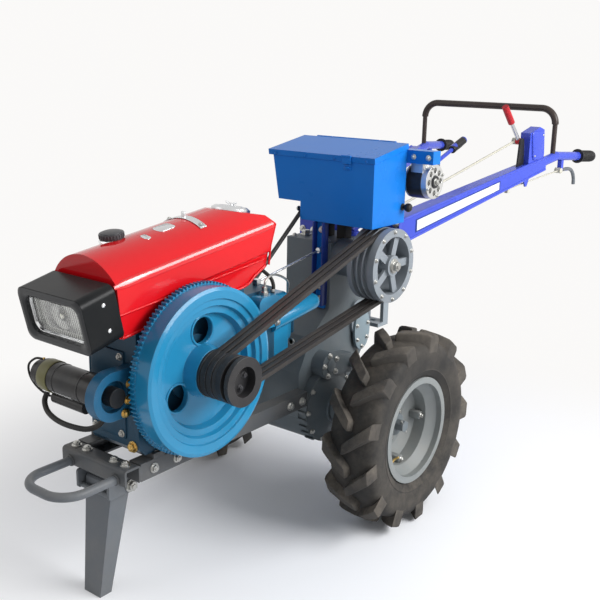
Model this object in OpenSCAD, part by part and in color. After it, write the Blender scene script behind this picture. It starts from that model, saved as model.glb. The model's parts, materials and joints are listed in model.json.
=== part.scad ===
// Walking tractor: two driven wheels, a single-cylinder diesel with an open flywheel, a three-belt drive,
// a toolbox over the gearbox, long handles and a folding front stand.
// Millimetres. +Z is up, -Y is the front, +X is the machine's left, where the flywheel is.
// Places along Y are measured from the wheel axle. centred() then stands the whole machine on the origin.

/* [Overall] */
// Distance between the middles of the two tyres
track_w = 800; // [760:1:900]
// From the wheel axle back to the ends of the grips
grip_reach = 1590; // [1500:1:1700]
// From the wheel axle forward to the front of the bumper loop
bumper_reach = 1090; // [1060:1:1200]

/* [Wheels] */
// Tyre radius over the lugs
tyre_r = 316; // [300:1:330]
// Tyre width
tyre_w = 165; // [150:1:180]
// Height of the tyre's lugs
lug_h = 26; // [18:1:32]
// Thickness of a lug
lug_w = 30; // [22:1:36]
// Number of lugs on each side of the tread
lug_count = 13; // [10:1:16]
// Slant of the lugs from straight across the tread
lug_slant = 42; // [30:1:48]
// Radius of the rim's flange
rim_r = 172; // [160:1:185]
// Width of the rim over its flanges
rim_w = 136; // [120:1:146]
// Thickness of the rim's sheet
rim_t = 6; // [4:0.5:9]
// How far the wheel disc sits outboard of the tyre's middle
disc_set = -24; // [-28:1:0]
// Radius of the hub's bolted flange
hub_flange_r = 66; // [58:1:74]
// Radius of the hub's sleeve
hub_r = 36; // [32:1:42]
// Radius of the axle over its six corners
axle_r = 19; // [16:0.5:24]

/* [Frame] */
// From the middle to the outer face of a rail
rail_x = 128; // [118:1:130]
// Width of a rail's flanges
rail_w = 45; // [36:1:54]
// Height of a rail
rail_h = 50; // [40:1:60]
// Thickness of a rail's web and flanges
rail_t = 7; // [5:0.5:9]
// Height of the rails' underside
rail_z = 350; // [330:1:370]
// Front face of the front beam
beam_y = -908; // [-930:1:-900]
// Depth of the front beam
beam_d = 56; // [46:1:64]
// Diameter of the bumper's round bar
bumper_d = 25; // [18:1:32]
// From the middle to a bumper arm's centre line
bumper_x = 92; // [84:1:98]
// Radius of the bumper's corners, on the centre line
bumper_bend = 70; // [50:1:80]

/* [Stand] */
// Pivot of the stand, along the machine
stand_y = -836; // [-845:1:-830]
// Height of the stand's pivot
stand_z = 316; // [306:1:322]
// Radius of the pivot pin
stand_pin_r = 8; // [6:0.5:9]
// Half width of the leg at its top
leg_top_x = 54; // [48:1:56]
// Half width of the leg at its foot
leg_foot_x = 33; // [26:1:40]
// Depth of the leg at its foot
leg_foot_d = 40; // [30:1:50]
// How far the foot stands ahead of the leg's top
leg_rake = 40; // [20:1:60]
// Thickness of the leg's sheet
leg_t = 6; // [4:0.5:8]

/* [Engine] */
// Crankshaft centre, along the machine
crank_y = -654; // [-664:1:-648]
// Height of the crankshaft
crank_z = 622; // [616:1:640]
// Half width of the engine block
block_x = 116; // [100:1:118]
// Front of the engine block
block_front_y = -846; // [-856:1:-836]
// Rear of the cylinder block, where the head bolts on
block_rear_y = -290; // [-310:1:-280]
// Depth of the cylinder head
head_d = 88; // [70:1:96]
// Half width of the hood
hood_x = 122; // [112:1:126]
// Height of the hood's shoulder at its front
hood_front_z = 892; // [880:1:905]
// Height of the hood's shoulder at its rear
hood_rear_z = 974; // [960:1:990]
// Front of the hood, at its shoulder
hood_front_y = -916; // [-922:1:-912]
// Rear of the hood, at its shoulder
hood_rear_y = -295; // [-310:1:-285]
// Rise of the hood's crown over its shoulders
hood_crown = 66; // [50:1:72]
// Width of the lamp shroud
lamp_w = 252; // [240:1:262]
// Height of the lamp shroud
lamp_h = 150; // [140:1:158]
// Depth of the lamp shroud
lamp_d = 106; // [100:1:109]
// Slope of the lamp shroud, front down
lamp_tilt = 13; // [8:1:16]
// Starter motor's radius
starter_r = 42; // [36:1:46]
// Starter motor's centre, along the machine
starter_y = -920; // [-926:1:-916]
// Height of the starter motor's centre
starter_z = 606; // [602:1:612]

/* [Drive] */
// Flywheel radius over the ring gear
flywheel_r = 242; // [230:1:244]
// Flywheel's width along its shaft
flywheel_w = 68; // [60:1:72]
// Outer face of the flywheel
flywheel_x = 206; // [204:1:210]
// Radius of the drive pulley
drive_r = 66; // [58:1:72]
// Outer end of the drive pulley's collar
drive_end_x = 320; // [314:1:330]
// Clutch pulley's centre, along the machine
clutch_y = 88; // [80:1:96]
// Height of the clutch pulley's centre
clutch_z = 807; // [800:1:814]
// Radius of the clutch pulley
clutch_r = 120; // [110:1:124]
// Outer face of the clutch pulley
clutch_x = 298; // [294:1:304]
// Width of the clutch pulley
clutch_w = 100; // [96:1:106]
// Number of belts
belt_count = 3; // [2:1:3]
// Spacing of the belts
belt_pitch = 21; // [20:0.5:22]
// Belt thickness
belt_t = 12; // [9:0.5:14]
// Belt width
belt_w = 13; // [10:0.5:14]

/* [Gearbox] */
// Half width of the gearbox
gear_x = 92; // [84:1:95]
// Height of the gearbox's top pad
gear_top_z = 862; // [855:1:868]
// Radius of the final-drive case round the axle
final_r = 128; // [118:1:134]
// Rear face of the gearbox
gear_rear_y = 250; // [240:1:262]
// Hitch pin's radius
hitch_pin_r = 12.5; // [10:0.5:16]

/* [Toolbox] */
// Left end of the box
box_left_x = 265; // [255:1:275]
// Right end of the box at its lid
box_right_x = -148; // [-156:1:-140]
// Right end of the box at its raised floor
box_toe_x = -112; // [-120:1:-104]
// Where the floor steps down
box_step_x = -20; // [-26:1:-14]
// Front face of the box
box_front_y = 3; // [-4:1:10]
// Rear face of the box
box_rear_y = 191; // [184:1:196]
// Height of the low floor
box_low_z = 932; // [926:1:938]
// Height of the raised floor
box_high_z = 991; // [985:1:998]
// Height of the rim at the front
box_front_z = 1150; // [1140:1:1156]
// Height of the rim at the rear
box_rear_z = 1184; // [1178:1:1192]
// Thickness of the box's walls
box_t = 4; // [3:0.5:6]
// Depth of the lid's lip
lip_h = 14; // [8:1:20]

/* [Handles] */
// Handle's foot, from the middle
handle_foot_x = 176; // [166:1:186]
// Height of the handle's centre line at its foot
handle_foot_z = 879; // [870:1:886]
// Height of the handle's centre line at its bend
handle_bend_z = 1074; // [1060:1:1084]
// From the grip's end forward to the bend
bend_back = 296; // [270:1:310]
// From the bend forward to the end of the beam
beam_back = 110; // [90:1:130]
// Grip's end, from the middle
grip_x = 347; // [330:1:360]
// Height of the grip's end
grip_z = 1056; // [1048:1:1066]
// Beam's width
handle_w = 66; // [56:1:72]
// Beam's width at its narrow end
handle_end_w = 46; // [43:1:54]
// Beam's height at its foot
handle_foot_h = 86; // [76:1:90]
// Beam's height at its narrow end
handle_end_h = 50; // [44:1:56]
// Diameter of the tube that carries the grip
tube_d = 38; // [32:1:42]
// Diameter of a grip
grip_d = 47; // [44:1:52]
// Length of a grip
grip_l = 118; // [100:1:130]
// Diameter of the hoop's sleeve
hoop_d = 28; // [22:1:32]
// Height of the hoop's centre line
hoop_z = 1266; // [1250:1:1300]
// Radius of the hoop's corners, on the centre line
hoop_bend = 62; // [45:1:75]

/* [Hidden] */
$fn = 64;

// Values that more than one piece uses
mid_y = (grip_reach - bumper_reach) / 2;
wheel_x = track_w / 2;
axle_z = tyre_r;
over = 1;
seat_gap = 0.3;
run_gap = 6;
round_end_share = 0.95;

// Tyre: height and half-width shares of its carcass above the flange, up to the crown
bead_drop = 14;
tyre_section_shares = [[0.07, 0.84], [0.3, 0.97], [0.6, 1], [0.88, 0.86], [1, 0.4]];
tyre_steps = 3 * lug_count;
carcass_r = tyre_r - lug_h;
// Lugs, from the shoulder to the middle: half-width share, then shares of the height off the top and the root
lug_shares = [[0.98, 0.24, 1.6], [0.5, 0.03, 0.6], [-0.08, 0, 0.5]];
lug_draft_share = 1.3;
lug_half_turn = atan(lug_w / cos(lug_slant) / 2 / tyre_r);
well_drop = 26;
well_half_share = 0.34;
disc_t = 9;
disc_cone = 22;
hub_flange_t = 14;
hub_bolts = 6;
hub_bolt_r = 7;
hub_bolt_share = 0.76;
axle_end = 30;
axle_in_x = 60;

// Front frame
rail_top_z = rail_z + rail_h;
beam_t = 7;
beam_round = 10;
engine_bar_y = -806;
engine_bar_d = 42;
engine_bar_h = 14;
bumper_share = 0.34;
bumper_z = rail_z + rail_h * bumper_share;
ear_t = 8;
ear_gap = 5;
ear_ahead = 4;
ear_back = 22;
ear_drop = 20;
ear_front_y = beam_y - ear_ahead;
ear_rear_y = stand_y + ear_back;
ear_low_z = stand_z - ear_drop;
stop_r = 7;
leg_top_z = rail_z - run_gap;
leg_ahead = 52;
leg_back = 16;
leg_corner = 16;
leg_front_y = stand_y - leg_ahead;
leg_rear_y = stand_y + leg_back;
foot_front_y = leg_front_y - leg_rake;

// Engine
foot_out = 10;
block_edge = 22;
block_corner = 46;
case_cover_t = 16;
case_cover_y1 = -452;
case_cover_z0 = 446;
case_cover_z1 = 716;
case_cover_round = 70;
block_rear_low_z = 508;
block_step_z = 778;
hood_low_front_y = -892;
hood_low_front_z = 752;
hood_vee_y = -430;
hood_vee_z = 800;
hood_rear_low_y = -326;
hood_rear_low_z = 850;
hood_pitch = atan2(hood_rear_z - hood_front_z, hood_rear_y - hood_front_y);
hood_crease_drop = 75;
hood_ledge = 8;
hood_under = 20;
hood_ridge_y = -444;
hood_rear_rise = 24;
hood_low_drop = 250;
head_half = 100;
head_low_z = 536;
head_top_z = 742;
rocker_d = 44;
rocker_half = 76;
rocker_h = 150;
rocker_round = 30;
crank_boss_r = 92;
crank_boss_x = flywheel_x - flywheel_w - run_gap;
crank_r = 30;
crank_in = 40;
pipe_r = 27;
pipe_x = 110;
pipe_z = 664;
pipe_ahead = 16;
pipe_front = [pipe_x, block_rear_y - pipe_ahead, pipe_z];
pipe_l = 210;
pipe_rise = 8;
pump_w = 42;
pump_y0 = -408;
pump_y1 = -316;
pump_z0 = 672;
pump_z1 = 770;

// Lamp
lamp_round = 24;
lamp_face_y = -1008;
lamp_face_z = 805;
bezel_w = 22;
bezel_d = 20;
lens_t = 12;
lens_gap = 0.3;
dome_r = 58;
dome_h = 14;
dome_x = 8;
dome_y = -368;
dome_top_share = 0.82;
cap_r = 33;
cap_neck_share = 0.8;
cap_h = 15;
cap_x = -40;
cap_y = -772;

// Starter
starter_far_x = -164;
starter_cap_l = 26;
starter_cap_share = 0.8;
starter_nose_r = 26;
starter_nose_x = 126;
solenoid_r = 17;
solenoid_x0 = -128;
solenoid_l = 130;
solenoid_drop = 58;
bracket_x0 = 78;
starter_near_x = bracket_x0 - seat_gap;
bracket_x1 = 112;
bracket_r = 66;
cable_d = 15;
cable_sides = 10;
cable_route = [[-156, -926, 556], [-154, -938, 534], [-132, -946, 512], [-90, -950, 500], [-40, -948, 496],
    [20, -940, 500], [54, -926, 516], [71, -912, 546]];

// Flywheel
ring_w = 18;
ring_teeth = 112;
tooth_h = 6;
tooth_shares = [[0, 0], [0.16, 1], [0.42, 1], [0.58, 0]];
// Flywheel's outer face, from its hub to its rim: radius shares, and depths as shares of its width
fly_face_shares = [[0.28, 0], [0.31, 0.6], [0.64, 0.6], [0.67, 0.3], [0.74, 0.3], [0.76, 0.12], [0.83, 0.12],
    [0.84, 0.03], [0.93, 0], [0.97, 0.06], [0.97, 0.5]];
fly_back_share = 0.2;
web_hole_r = 37;
web_hole_share = 0.46;
web_holes = 3;
groove_spare = 2;
groove_d = belt_t + groove_spare;
groove_top = belt_w + 2 * groove_spare;
groove_low = belt_w + groove_spare;
belt_steps = 40;
belt_out = 38;
belt_x = flywheel_x + belt_out;
collar_lip = 2;
collar_r = drive_r + collar_lip;
collar_t = 14;
collar_bore_r = 42;
drive_in_r = drive_r - groove_d + seat_gap;
clutch_in_r = clutch_r - groove_d + seat_gap;
clutch_face_d = 20;
clutch_rim_t = 12;
clutch_hub_r = 34;
clutch_arms = 5;
clutch_arm_w = 26;
clutch_web_t = 14;
clutch_shaft_r = 22;
clutch_shaft_in = 40;
clutch_boss_r = 62;

// Gearbox
gear_round = 24;
gear_step = 60;
gear_lip = 4;
rail_end_y = -final_r - gear_lip;
gear_shoulder_z = 640;
gear_front_low_z = 300;
gear_neck_y = clutch_y - clutch_boss_r;
gear_waist_z = 560;
final_side_x = 150;
final_flat_x = 122;
fin_count = 5;
fin_t = 8;
fin_out = 7;
fin_pitch = 26;
lobe_x = 140;
lobe_front = [-22, 462];
lobe_front_r = 46;
lobe_rear = [96, 444];
lobe_rear_r = 34;
lobe_pin_r = 16;
lobe_pin_x = 172;
housing_r = 46;
housing_end_x = 272;
rib_t = 9;
axle_run = 0.5;
cover_t = 10;
cover_y0 = 150;
cover_y1 = 222;
cover_z0 = 520;
cover_z1 = 640;
hitch_y1 = 470;
hitch_half = 46;
hitch_t = 14;
hitch_low_z = 480;
hitch_top_z = 626;
hitch_leg = 34;

// Toolbox supports
post_x = 60;
post_w = 34;
post_t = 10;
mount_places = [0, 70];
mount_w = 34;
mount_y0 = 112;
mount_y1 = 150;
strut_d = 14;
strut_plate_t = 6;
strut_plate = 32;
strut_top_y = 26;
strut_top_z = 962;
strut_low_y = -236;
throttle_x = 60;
throttle_d = 7;
throttle_foot = 18;
throttle_rear_z = 838;
lid_t = 4;
lid_out = 5;
lid_pitch = atan2(box_rear_z - box_front_z, box_rear_y - box_front_y);
hinge_r = 6;
hinge_pin_r = 3;
hinge_l = 60;
hinge_in = 48;

// Alternator
alt_y = 262;
alt_z = 1064;
alt_r = 56;
alt_x0 = 250;
alt_x1 = 332;
bar_x0 = 238;
bar_x1 = 362;
bar_d = 46;
bar_z0 = 1126;
bar_z1 = 1168;
alt_slot_share = 0.66;
alt_slots = 8;
lug_half = 22;
lug_y0 = 214;
lug_y1 = 256;

// Handles and controls
frame_half = 212;
frame_low_z = 790;
frame_top_z = 926;
frame_t = 16;
frame_notch = 50;
handle_foot_y = gear_rear_y + frame_t;
handle_splay = atan2(grip_x - handle_foot_x, grip_reach - handle_foot_y);
handle_l = norm([grip_x - handle_foot_x, grip_reach - handle_foot_y]);
bend_u = handle_l - bend_back;
beam_u = bend_u - beam_back;
rise = atan2(handle_bend_z - handle_foot_z, bend_u);
fall = atan2(handle_bend_z - grip_z, bend_back);
tube_step = 2;
grip_tube_d = tube_d - tube_step;
grip_flange_t = 6;
grip_flange_d = 60;
hoop_ahead = 26;
hoop_leg_d = 20;
hoop_u = bend_u - hoop_ahead;
hoop_x = handle_foot_x + hoop_u * sin(handle_splay);
hoop_y = handle_foot_y + hoop_u * cos(handle_splay);
lever_u = 770;
lever_z = 1146;
lever_rise = 136;
lever_lean = 40;
lever_d = 14;
lever_hub_r = 13;
lever_hub_w = 18;
lever_grip_d = 26;
lever_grip_share = 0.46;
lever_plate_t = 8;
lever_plate_w = 52;
pod_u0 = 796;
pod_u1 = 908;
pod_w = 44;
pod_top_z = 1200;
pod_low_z = 1000;
clutch_rod_d = 9;
clutch_eye = 16;
clutch_foot_x = 150;
clutch_foot_h = 22;
shift_x = 60;
shift_foot_y = 196;
shift_boss_r = 22;
shift_boss_h = 14;
shift_end = [shift_x, 956, 1142];
shift_d = 16;
shift_grip_d = 30;
shift_grip_l = 96;
steer_back = 36;
steer_u = bend_u + steer_back;
steer_drop = 62;
steer_d = 12;
steer_l = 92;
steer_bracket_w = 18;
steer_rod_d = 6;
steer_hook_u = 700;
steer_hook_w = 14;
steer_hook_h = 30;

// A thing drawn in the machine's own places, moved so that its box stands on the origin
module centred() {
    translate([0, -mid_y, 0]) children();
}

// Both sides of the machine
module both_sides() {
    children();
    mirror([1, 0, 0]) children();
}

// A flat shape drawn with Y across and Z up, made thick along X
module thick_x(x0, x1) {
    translate([x0, 0, 0]) rotate([90, 0, 90]) linear_extrude(x1 - x0) children();
}

// A flat shape drawn with X across and Z up, made thick along Y
module thick_y(y0, y1) {
    translate([0, y1, 0]) rotate([90, 0, 0]) linear_extrude(y1 - y0) children();
}

// A cylinder along X, centred on a place in Y and Z
module shaft_x(x0, x1, y, z, r) {
    translate([x0, y, z]) rotate([0, 90, 0]) cylinder(h = x1 - x0, r = r);
}

// A shape turned about the X axis: its outline has the distance along X across and the radius up
module turned_x(y, z, steps = $fn) {
    translate([0, y, z]) rotate([0, 90, 0]) rotate_extrude($fn = steps) rotate(90) mirror([0, 1]) children();
}

// A round bar between two points
module bar(a, b, d) {
    v = b - a;
    l = norm(v);
    translate(a) rotate([0, acos(v[2] / l), atan2(v[1], v[0])]) cylinder(h = l, d = d);
}

// A rectangle with rounded corners, by its low and high corners
module rounded(low, high, r) {
    translate([low[0] + r, low[1]]) square([high[0] - low[0] - 2 * r, high[1] - low[1]]);
    translate([low[0], low[1] + r]) square([high[0] - low[0], high[1] - low[1] - 2 * r]);
    for (x = [low[0] + r, high[0] - r], y = [low[1] + r, high[1] - r])
        translate([x, y]) circle(r);
}

// A quarter bend of round tube in the XZ plane, from straight up at its near end to level
module bend_xz(centre, r, d) {
    translate(centre) rotate([90, 0, 0]) rotate_extrude(angle = 90) translate([r, 0]) circle(d = d);
}

// Rails: two channels, open inwards
module frame_rails() {
    color("dimgray") both_sides() thick_y(beam_y + beam_d, rail_end_y)
        difference() {
            translate([rail_x - rail_w, rail_z]) square([rail_w, rail_h]);
            translate([rail_x - rail_w - over, rail_z + rail_t])
                square([rail_w - rail_t + over, rail_h - 2 * rail_t]);
        }
}

// Front beam across the rails' ends, with the bar that carries the engine's front feet
module front_beam() {
    color("dimgray") {
        thick_x(-rail_x, rail_x) difference() {
            rounded([beam_y, rail_z], [beam_y + beam_d, rail_top_z], beam_round);
            translate([beam_y + beam_t, rail_z - over])
                square([beam_d - 2 * beam_t, rail_h - beam_t + over]);
        }
        translate([-rail_x, engine_bar_y, rail_top_z]) cube([2 * rail_x, engine_bar_d, engine_bar_h]);
    }
}

// Bumper: one round bar bent into a loop
module bumper_loop() {
    front_y = -bumper_reach + bumper_d / 2;
    color("slategray") translate([0, 0, bumper_z]) {
        both_sides() {
            bar([bumper_x, beam_y, 0], [bumper_x, front_y + bumper_bend, 0], bumper_d);
            translate([bumper_x - bumper_bend, front_y + bumper_bend, 0])
                rotate(-90) rotate_extrude(angle = 90) translate([bumper_bend, 0]) circle(d = bumper_d);
        }
        bar([bumper_bend - bumper_x, front_y, 0], [bumper_x - bumper_bend, front_y, 0], bumper_d);
    }
}

// Ears under the front beam, with the stand's pivot pin and its stop
module stand_bracket() {
    ear_x = leg_top_x + ear_gap;
    stop_z = ear_low_z + stop_r;
    stop_y = leg_line_y(stop_z) - stop_r - seat_gap;
    color("slategray") {
        both_sides() thick_x(ear_x, ear_x + ear_t)
            rounded([ear_front_y, ear_low_z], [ear_rear_y, rail_z], ear_t);
        shaft_x(-ear_x, ear_x, stand_y, stand_z, stand_pin_r);
        shaft_x(-ear_x, ear_x, stop_y, stop_z, stop_r);
    }
}

// Front line of the leg, at a height
function leg_line_y(z) = foot_front_y + (leg_front_y - foot_front_y) * z / leg_top_z;

// Stand leg: a tapered channel, open to the rear
module stand_leg() {
    color("slategray") difference() {
        intersection() {
            thick_y(foot_front_y - over, leg_rear_y + over) leg_front_outline(0);
            thick_x(-leg_top_x, leg_top_x) polygon([[foot_front_y, 0], [foot_front_y + leg_foot_d, 0],
                [leg_rear_y, leg_top_z - ear_t], [leg_rear_y - ear_t, leg_top_z],
                [leg_front_y + leg_corner, leg_top_z],
                [leg_line_y(leg_top_z - leg_corner), leg_top_z - leg_corner]]);
        }
        intersection() {
            thick_y(foot_front_y - over, leg_rear_y + 2 * over) leg_front_outline(leg_t);
            thick_x(-leg_top_x, leg_top_x) polygon([[foot_front_y + leg_t, -over],
                [leg_rear_y + over, -over], [leg_rear_y + over, leg_top_z + over],
                [leg_front_y + leg_t, leg_top_z + over]]);
        }
        shaft_x(-leg_top_x - over, leg_top_x + over, stand_y, stand_z, stand_pin_r + seat_gap);
    }
}

// The leg seen from the front, drawn in by a wall
module leg_front_outline(wall) {
    polygon([[wall - leg_foot_x, -over], [leg_foot_x - wall, -over],
        [leg_top_x - wall, leg_top_z + over], [wall - leg_top_x, leg_top_z + over]]);
}

// Engine block: crankcase and cylinder, on feet that stand on the rails
module engine_block() {
    low_z = rail_top_z + engine_bar_h;
    color("teal") difference() {
        union() {
            thick_x(-block_x, block_x) polygon([[block_front_y, low_z + block_edge],
                [block_front_y + block_edge, low_z], [crank_y + flywheel_r - block_edge, low_z],
                [crank_y + flywheel_r, block_rear_low_z], [block_rear_y, block_rear_low_z],
                [block_rear_y, block_step_z], [hood_vee_y, block_step_z], [hood_vee_y, hood_vee_z],
                [block_front_y, hood_low_z(block_front_y)]]);
            both_sides() translate([block_x - rail_w, engine_bar_y, rail_top_z])
                cube([rail_w + foot_out - over, crank_y - engine_bar_y, low_z - rail_top_z]);
            shaft_x(block_x - over, crank_boss_x, crank_y, crank_z, crank_boss_r);
            thick_x(-block_x - case_cover_t, over - block_x)
                rounded([block_front_y + block_corner, case_cover_z0], [case_cover_y1, case_cover_z1],
                    case_cover_round);
        }
        translate([-block_x, block_front_y, 0]) linear_extrude(hood_front_z)
            polygon([[-over, -over], [block_corner, -over], [-over, block_corner]]);
        translate([-rail_x, engine_bar_y, rail_top_z - over])
            cube([2 * rail_x, engine_bar_d, engine_bar_h + over]);
        shaft_x(crank_boss_x - crank_in, crank_boss_x + over, crank_y, crank_z, crank_r + seat_gap);
    }
}

// Height of the hood's lower edge, which is also the block's top
function hood_low_z(y) = hood_low_front_z
    + (hood_vee_z - hood_low_front_z) * (y - hood_low_front_y) / (hood_vee_y - hood_low_front_y);

// Cylinder head with its rocker cover
module cylinder_head() {
    head_y = block_rear_y + head_d;
    mid_z = (head_low_z + head_top_z) / 2;
    color("deepskyblue") {
        thick_y(block_rear_y, head_y) rounded([-head_half, head_low_z], [head_half, head_top_z], block_edge);
        thick_y(head_y, head_y + rocker_d)
            rounded([-rocker_half, mid_z - rocker_h / 2], [rocker_half, mid_z + rocker_h / 2], rocker_round);
    }
}

// Intake pipe along the left of the head, with a round end
module intake_pipe() {
    color("deepskyblue") difference() {
        translate(pipe_front) rotate([-90 + pipe_rise, 0, 0]) round_end_bar(pipe_l, pipe_r);
        thick_y(block_rear_y - head_d, block_rear_y + head_d + over)
            rounded([-head_half, head_low_z], [head_half, head_top_z], block_edge);
        translate([-block_x, block_rear_y - head_d, block_rear_low_z])
            cube([2 * block_x, head_d, block_step_z - block_rear_low_z]);
    }
}

// A bar along Z with a round far end, flat at its tip
module round_end_bar(l, r) {
    rotate_extrude() {
        square([r, l]);
        intersection() {
            translate([0, l]) circle(r);
            translate([0, l]) square([r, r * round_end_share]);
        }
    }
}

// Fuel-injection pump on the left of the block, under the hood's point
module injection_pump() {
    color("deepskyblue") thick_x(block_x, block_x + pump_w)
        rounded([pump_y0, pump_z0], [pump_y1, pump_z1], block_edge);
}

// Hood: a tank with a crowned top, creased sides drawn in below, and a rear edge that runs to a point
module hood() {
    color("crimson") hood_solid();
}

module hood_solid() {
    intersection() {
        thick_x(-hood_x - over, hood_x + over) polygon([[hood_front_y, hood_front_z + hood_crown + over],
            [hood_ridge_y, hood_shoulder_z(hood_ridge_y) + hood_crown],
            [hood_rear_y - hood_rear_rise, hood_rear_z + hood_rear_rise], [hood_rear_y, hood_rear_z],
            [hood_rear_low_y + hood_ledge, (hood_rear_z + hood_rear_low_z) / 2],
            [hood_rear_low_y, hood_rear_low_z], [hood_vee_y, hood_vee_z],
            [hood_low_front_y, hood_low_front_z]]);
        translate([0, hood_front_y, hood_front_z]) rotate([hood_pitch, 0, 0])
            thick_y(-lamp_d, hood_rear_y - hood_front_y + lamp_d) hood_section();
    }
}

// Height of the hood's shoulder at a place along it
function hood_shoulder_z(y) = hood_front_z + (y - hood_front_y) * tan(hood_pitch);

// The hood's cross-section, with its shoulders at zero
module hood_section() {
    crown_r = (hood_x * hood_x + hood_crown * hood_crown) / (2 * hood_crown);
    intersection() {
        translate([0, hood_crown - crown_r]) circle(crown_r, $fn = 128);
        polygon([[hood_x, hood_crown], [hood_x, -hood_crease_drop],
            [hood_x - hood_ledge, -hood_crease_drop - hood_ledge], [hood_x - hood_under, -hood_low_drop],
            [hood_under - hood_x, -hood_low_drop], [hood_ledge - hood_x, -hood_crease_drop - hood_ledge],
            [-hood_x, -hood_crease_drop], [-hood_x, hood_crown]]);
    }
}

// A shape in the lamp's own slope: X across, Z up, its face at zero
module in_lamp() {
    translate([0, lamp_face_y, lamp_face_z]) rotate([lamp_tilt, 0, 0]) children();
}

// Lamp shroud, hollow behind its lens
module lamp_shroud() {
    color("#26272a") difference() {
        in_lamp() difference() {
            thick_y(0, lamp_d) rounded([-lamp_w / 2, -lamp_h / 2], [lamp_w / 2, lamp_h / 2], lamp_round);
            thick_y(-over, bezel_d + lens_t) lens_outline(0);
        }
        hood_solid();
    }
}

module lens_outline(gap) {
    rounded([bezel_w - lamp_w / 2 + gap, bezel_w - lamp_h / 2 + gap],
        [lamp_w / 2 - bezel_w - gap, lamp_h / 2 - bezel_w - gap], lamp_round - bezel_w / 2);
}

// Lamp lens, set back inside the bezel
module lamp_lens() {
    color("gainsboro") in_lamp() thick_y(bezel_d, bezel_d + lens_t) lens_outline(lens_gap);
}

// Filler cap on its collar
module filler_cap() {
    color("dimgray") difference() {
        translate([cap_x, cap_y, hood_shoulder_z(cap_y)]) rotate([hood_pitch, 0, 0]) {
            cylinder(h = hood_crown + cap_h / 2, r = cap_r * cap_neck_share);
            translate([0, 0, hood_crown]) cylinder(h = cap_h, r = cap_r);
        }
        hood_solid();
    }
}

// Silver dome of the air cleaner, on the slope at the hood's rear
module hood_fittings() {
    ridge_z = hood_shoulder_z(hood_ridge_y) + hood_crown;
    slope = (hood_rear_z + hood_rear_rise - ridge_z) / (hood_rear_y - hood_rear_rise - hood_ridge_y);
    color("silver") difference() {
        translate([dome_x, dome_y, ridge_z + slope * (dome_y - hood_ridge_y)]) rotate([atan(slope), 0, 0])
            rotate_extrude() polygon([[0, -dome_h], [dome_r, -dome_h], [dome_r, dome_h / 2],
                [dome_r * dome_top_share, dome_h], [0, dome_h]]);
        hood_solid();
        translate([-hood_x, hood_front_y, 0]) cube([2 * hood_x, -hood_front_y, hood_rear_z + dome_h / 2]);
    }
}

// Starter motor with its solenoid
module starter_motor() {
    color("#202020") {
        shaft_x(starter_far_x, starter_near_x, starter_y, starter_z, starter_r);
        shaft_x(starter_far_x - starter_cap_l, starter_far_x, starter_y, starter_z,
            starter_r * starter_cap_share);
        shaft_x(starter_near_x, starter_nose_x, starter_y, starter_z, starter_nose_r);
        shaft_x(solenoid_x0, solenoid_x0 + solenoid_l, starter_y, starter_z - solenoid_drop, solenoid_r);
        thick_x(solenoid_x0 + solenoid_r, solenoid_x0 + solenoid_l - solenoid_r)
            translate([starter_y - solenoid_r / 2, starter_z - solenoid_drop])
                square([solenoid_r, solenoid_drop]);
    }
}

// Starter bracket: a round housing on the front of the crankcase
module starter_bracket() {
    color("steelblue") difference() {
        thick_x(bracket_x0, bracket_x1) {
            translate([starter_y, starter_z]) circle(bracket_r);
            translate([starter_y, starter_z - bracket_r]) square([block_front_y - starter_y, 2 * bracket_r]);
        }
        translate([0, block_front_y, 0]) cube([block_x, bracket_r, crank_z + flywheel_r]);
        shaft_x(bracket_x0 - over, bracket_x1 + over, starter_y, starter_z, starter_nose_r + seat_gap);
        shaft_x(bracket_x0 + bracket_r / 4, bracket_x1 + over, starter_y, starter_z, starter_r);
    }
}

// Starter cable: from the solenoid's far end round to the bracket
module starter_cable() {
    color("#181818") tube_along(cable_route, cable_d, cable_sides);
}

// Flywheel on the end of the crankshaft: a stepped face, a pierced web and a ring gear
module flywheel() {
    x0 = flywheel_x - flywheel_w;
    rim_r_in = flywheel_r * fly_face_shares[2][0];
    rim_r_out = flywheel_r * fly_face_shares[len(fly_face_shares) - 1][0];
    back_x = x0 + flywheel_w * fly_back_share;
    face = [for (s = fly_face_shares) [flywheel_x - s[1] * flywheel_w, s[0] * flywheel_r]];
    color("deepskyblue") difference() {
        union() {
            turned_x(crank_y, crank_z) polygon(concat([[flywheel_x, 0]], face,
                [[x0, rim_r_out], [x0, rim_r_in], [back_x, rim_r_in], [back_x, face[0][1]],
                [x0, face[0][1]], [x0, 0]]));
            translate([0, crank_y, crank_z]) thick_x(x0, x0 + ring_w) ring_gear(rim_r_in);
            shaft_x(x0 - crank_in, x0 + over, crank_y, crank_z, crank_r);
        }
        for (i = [0 : web_holes - 1])
            translate([0, crank_y, crank_z]) rotate([360 * i / web_holes, 0, 0])
                shaft_x(x0 - over, flywheel_x, 0, flywheel_r * web_hole_share, web_hole_r);
    }
}

// Outline of the ring gear, open in the middle
module ring_gear(inner_r) {
    root_r = flywheel_r - tooth_h;
    difference() {
        polygon([for (i = [0 : ring_teeth - 1], s = tooth_shares)
            let (a = 360 * (i + s[0]) / ring_teeth, r = root_r + s[1] * tooth_h) r * [cos(a), sin(a)]]);
        circle(inner_r + over);
    }
}

// Places of the belts along X
function belt_places() = [for (i = [0 : belt_count - 1]) belt_x + (i - (belt_count - 1) / 2) * belt_pitch];

// The grooves of a pulley, as an outline to cut
module grooves(r) {
    for (x = belt_places())
        polygon([[x - groove_low / 2, r - groove_d], [x + groove_low / 2, r - groove_d],
            [x + groove_top / 2, r + over], [x - groove_top / 2, r + over]]);
}

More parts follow.
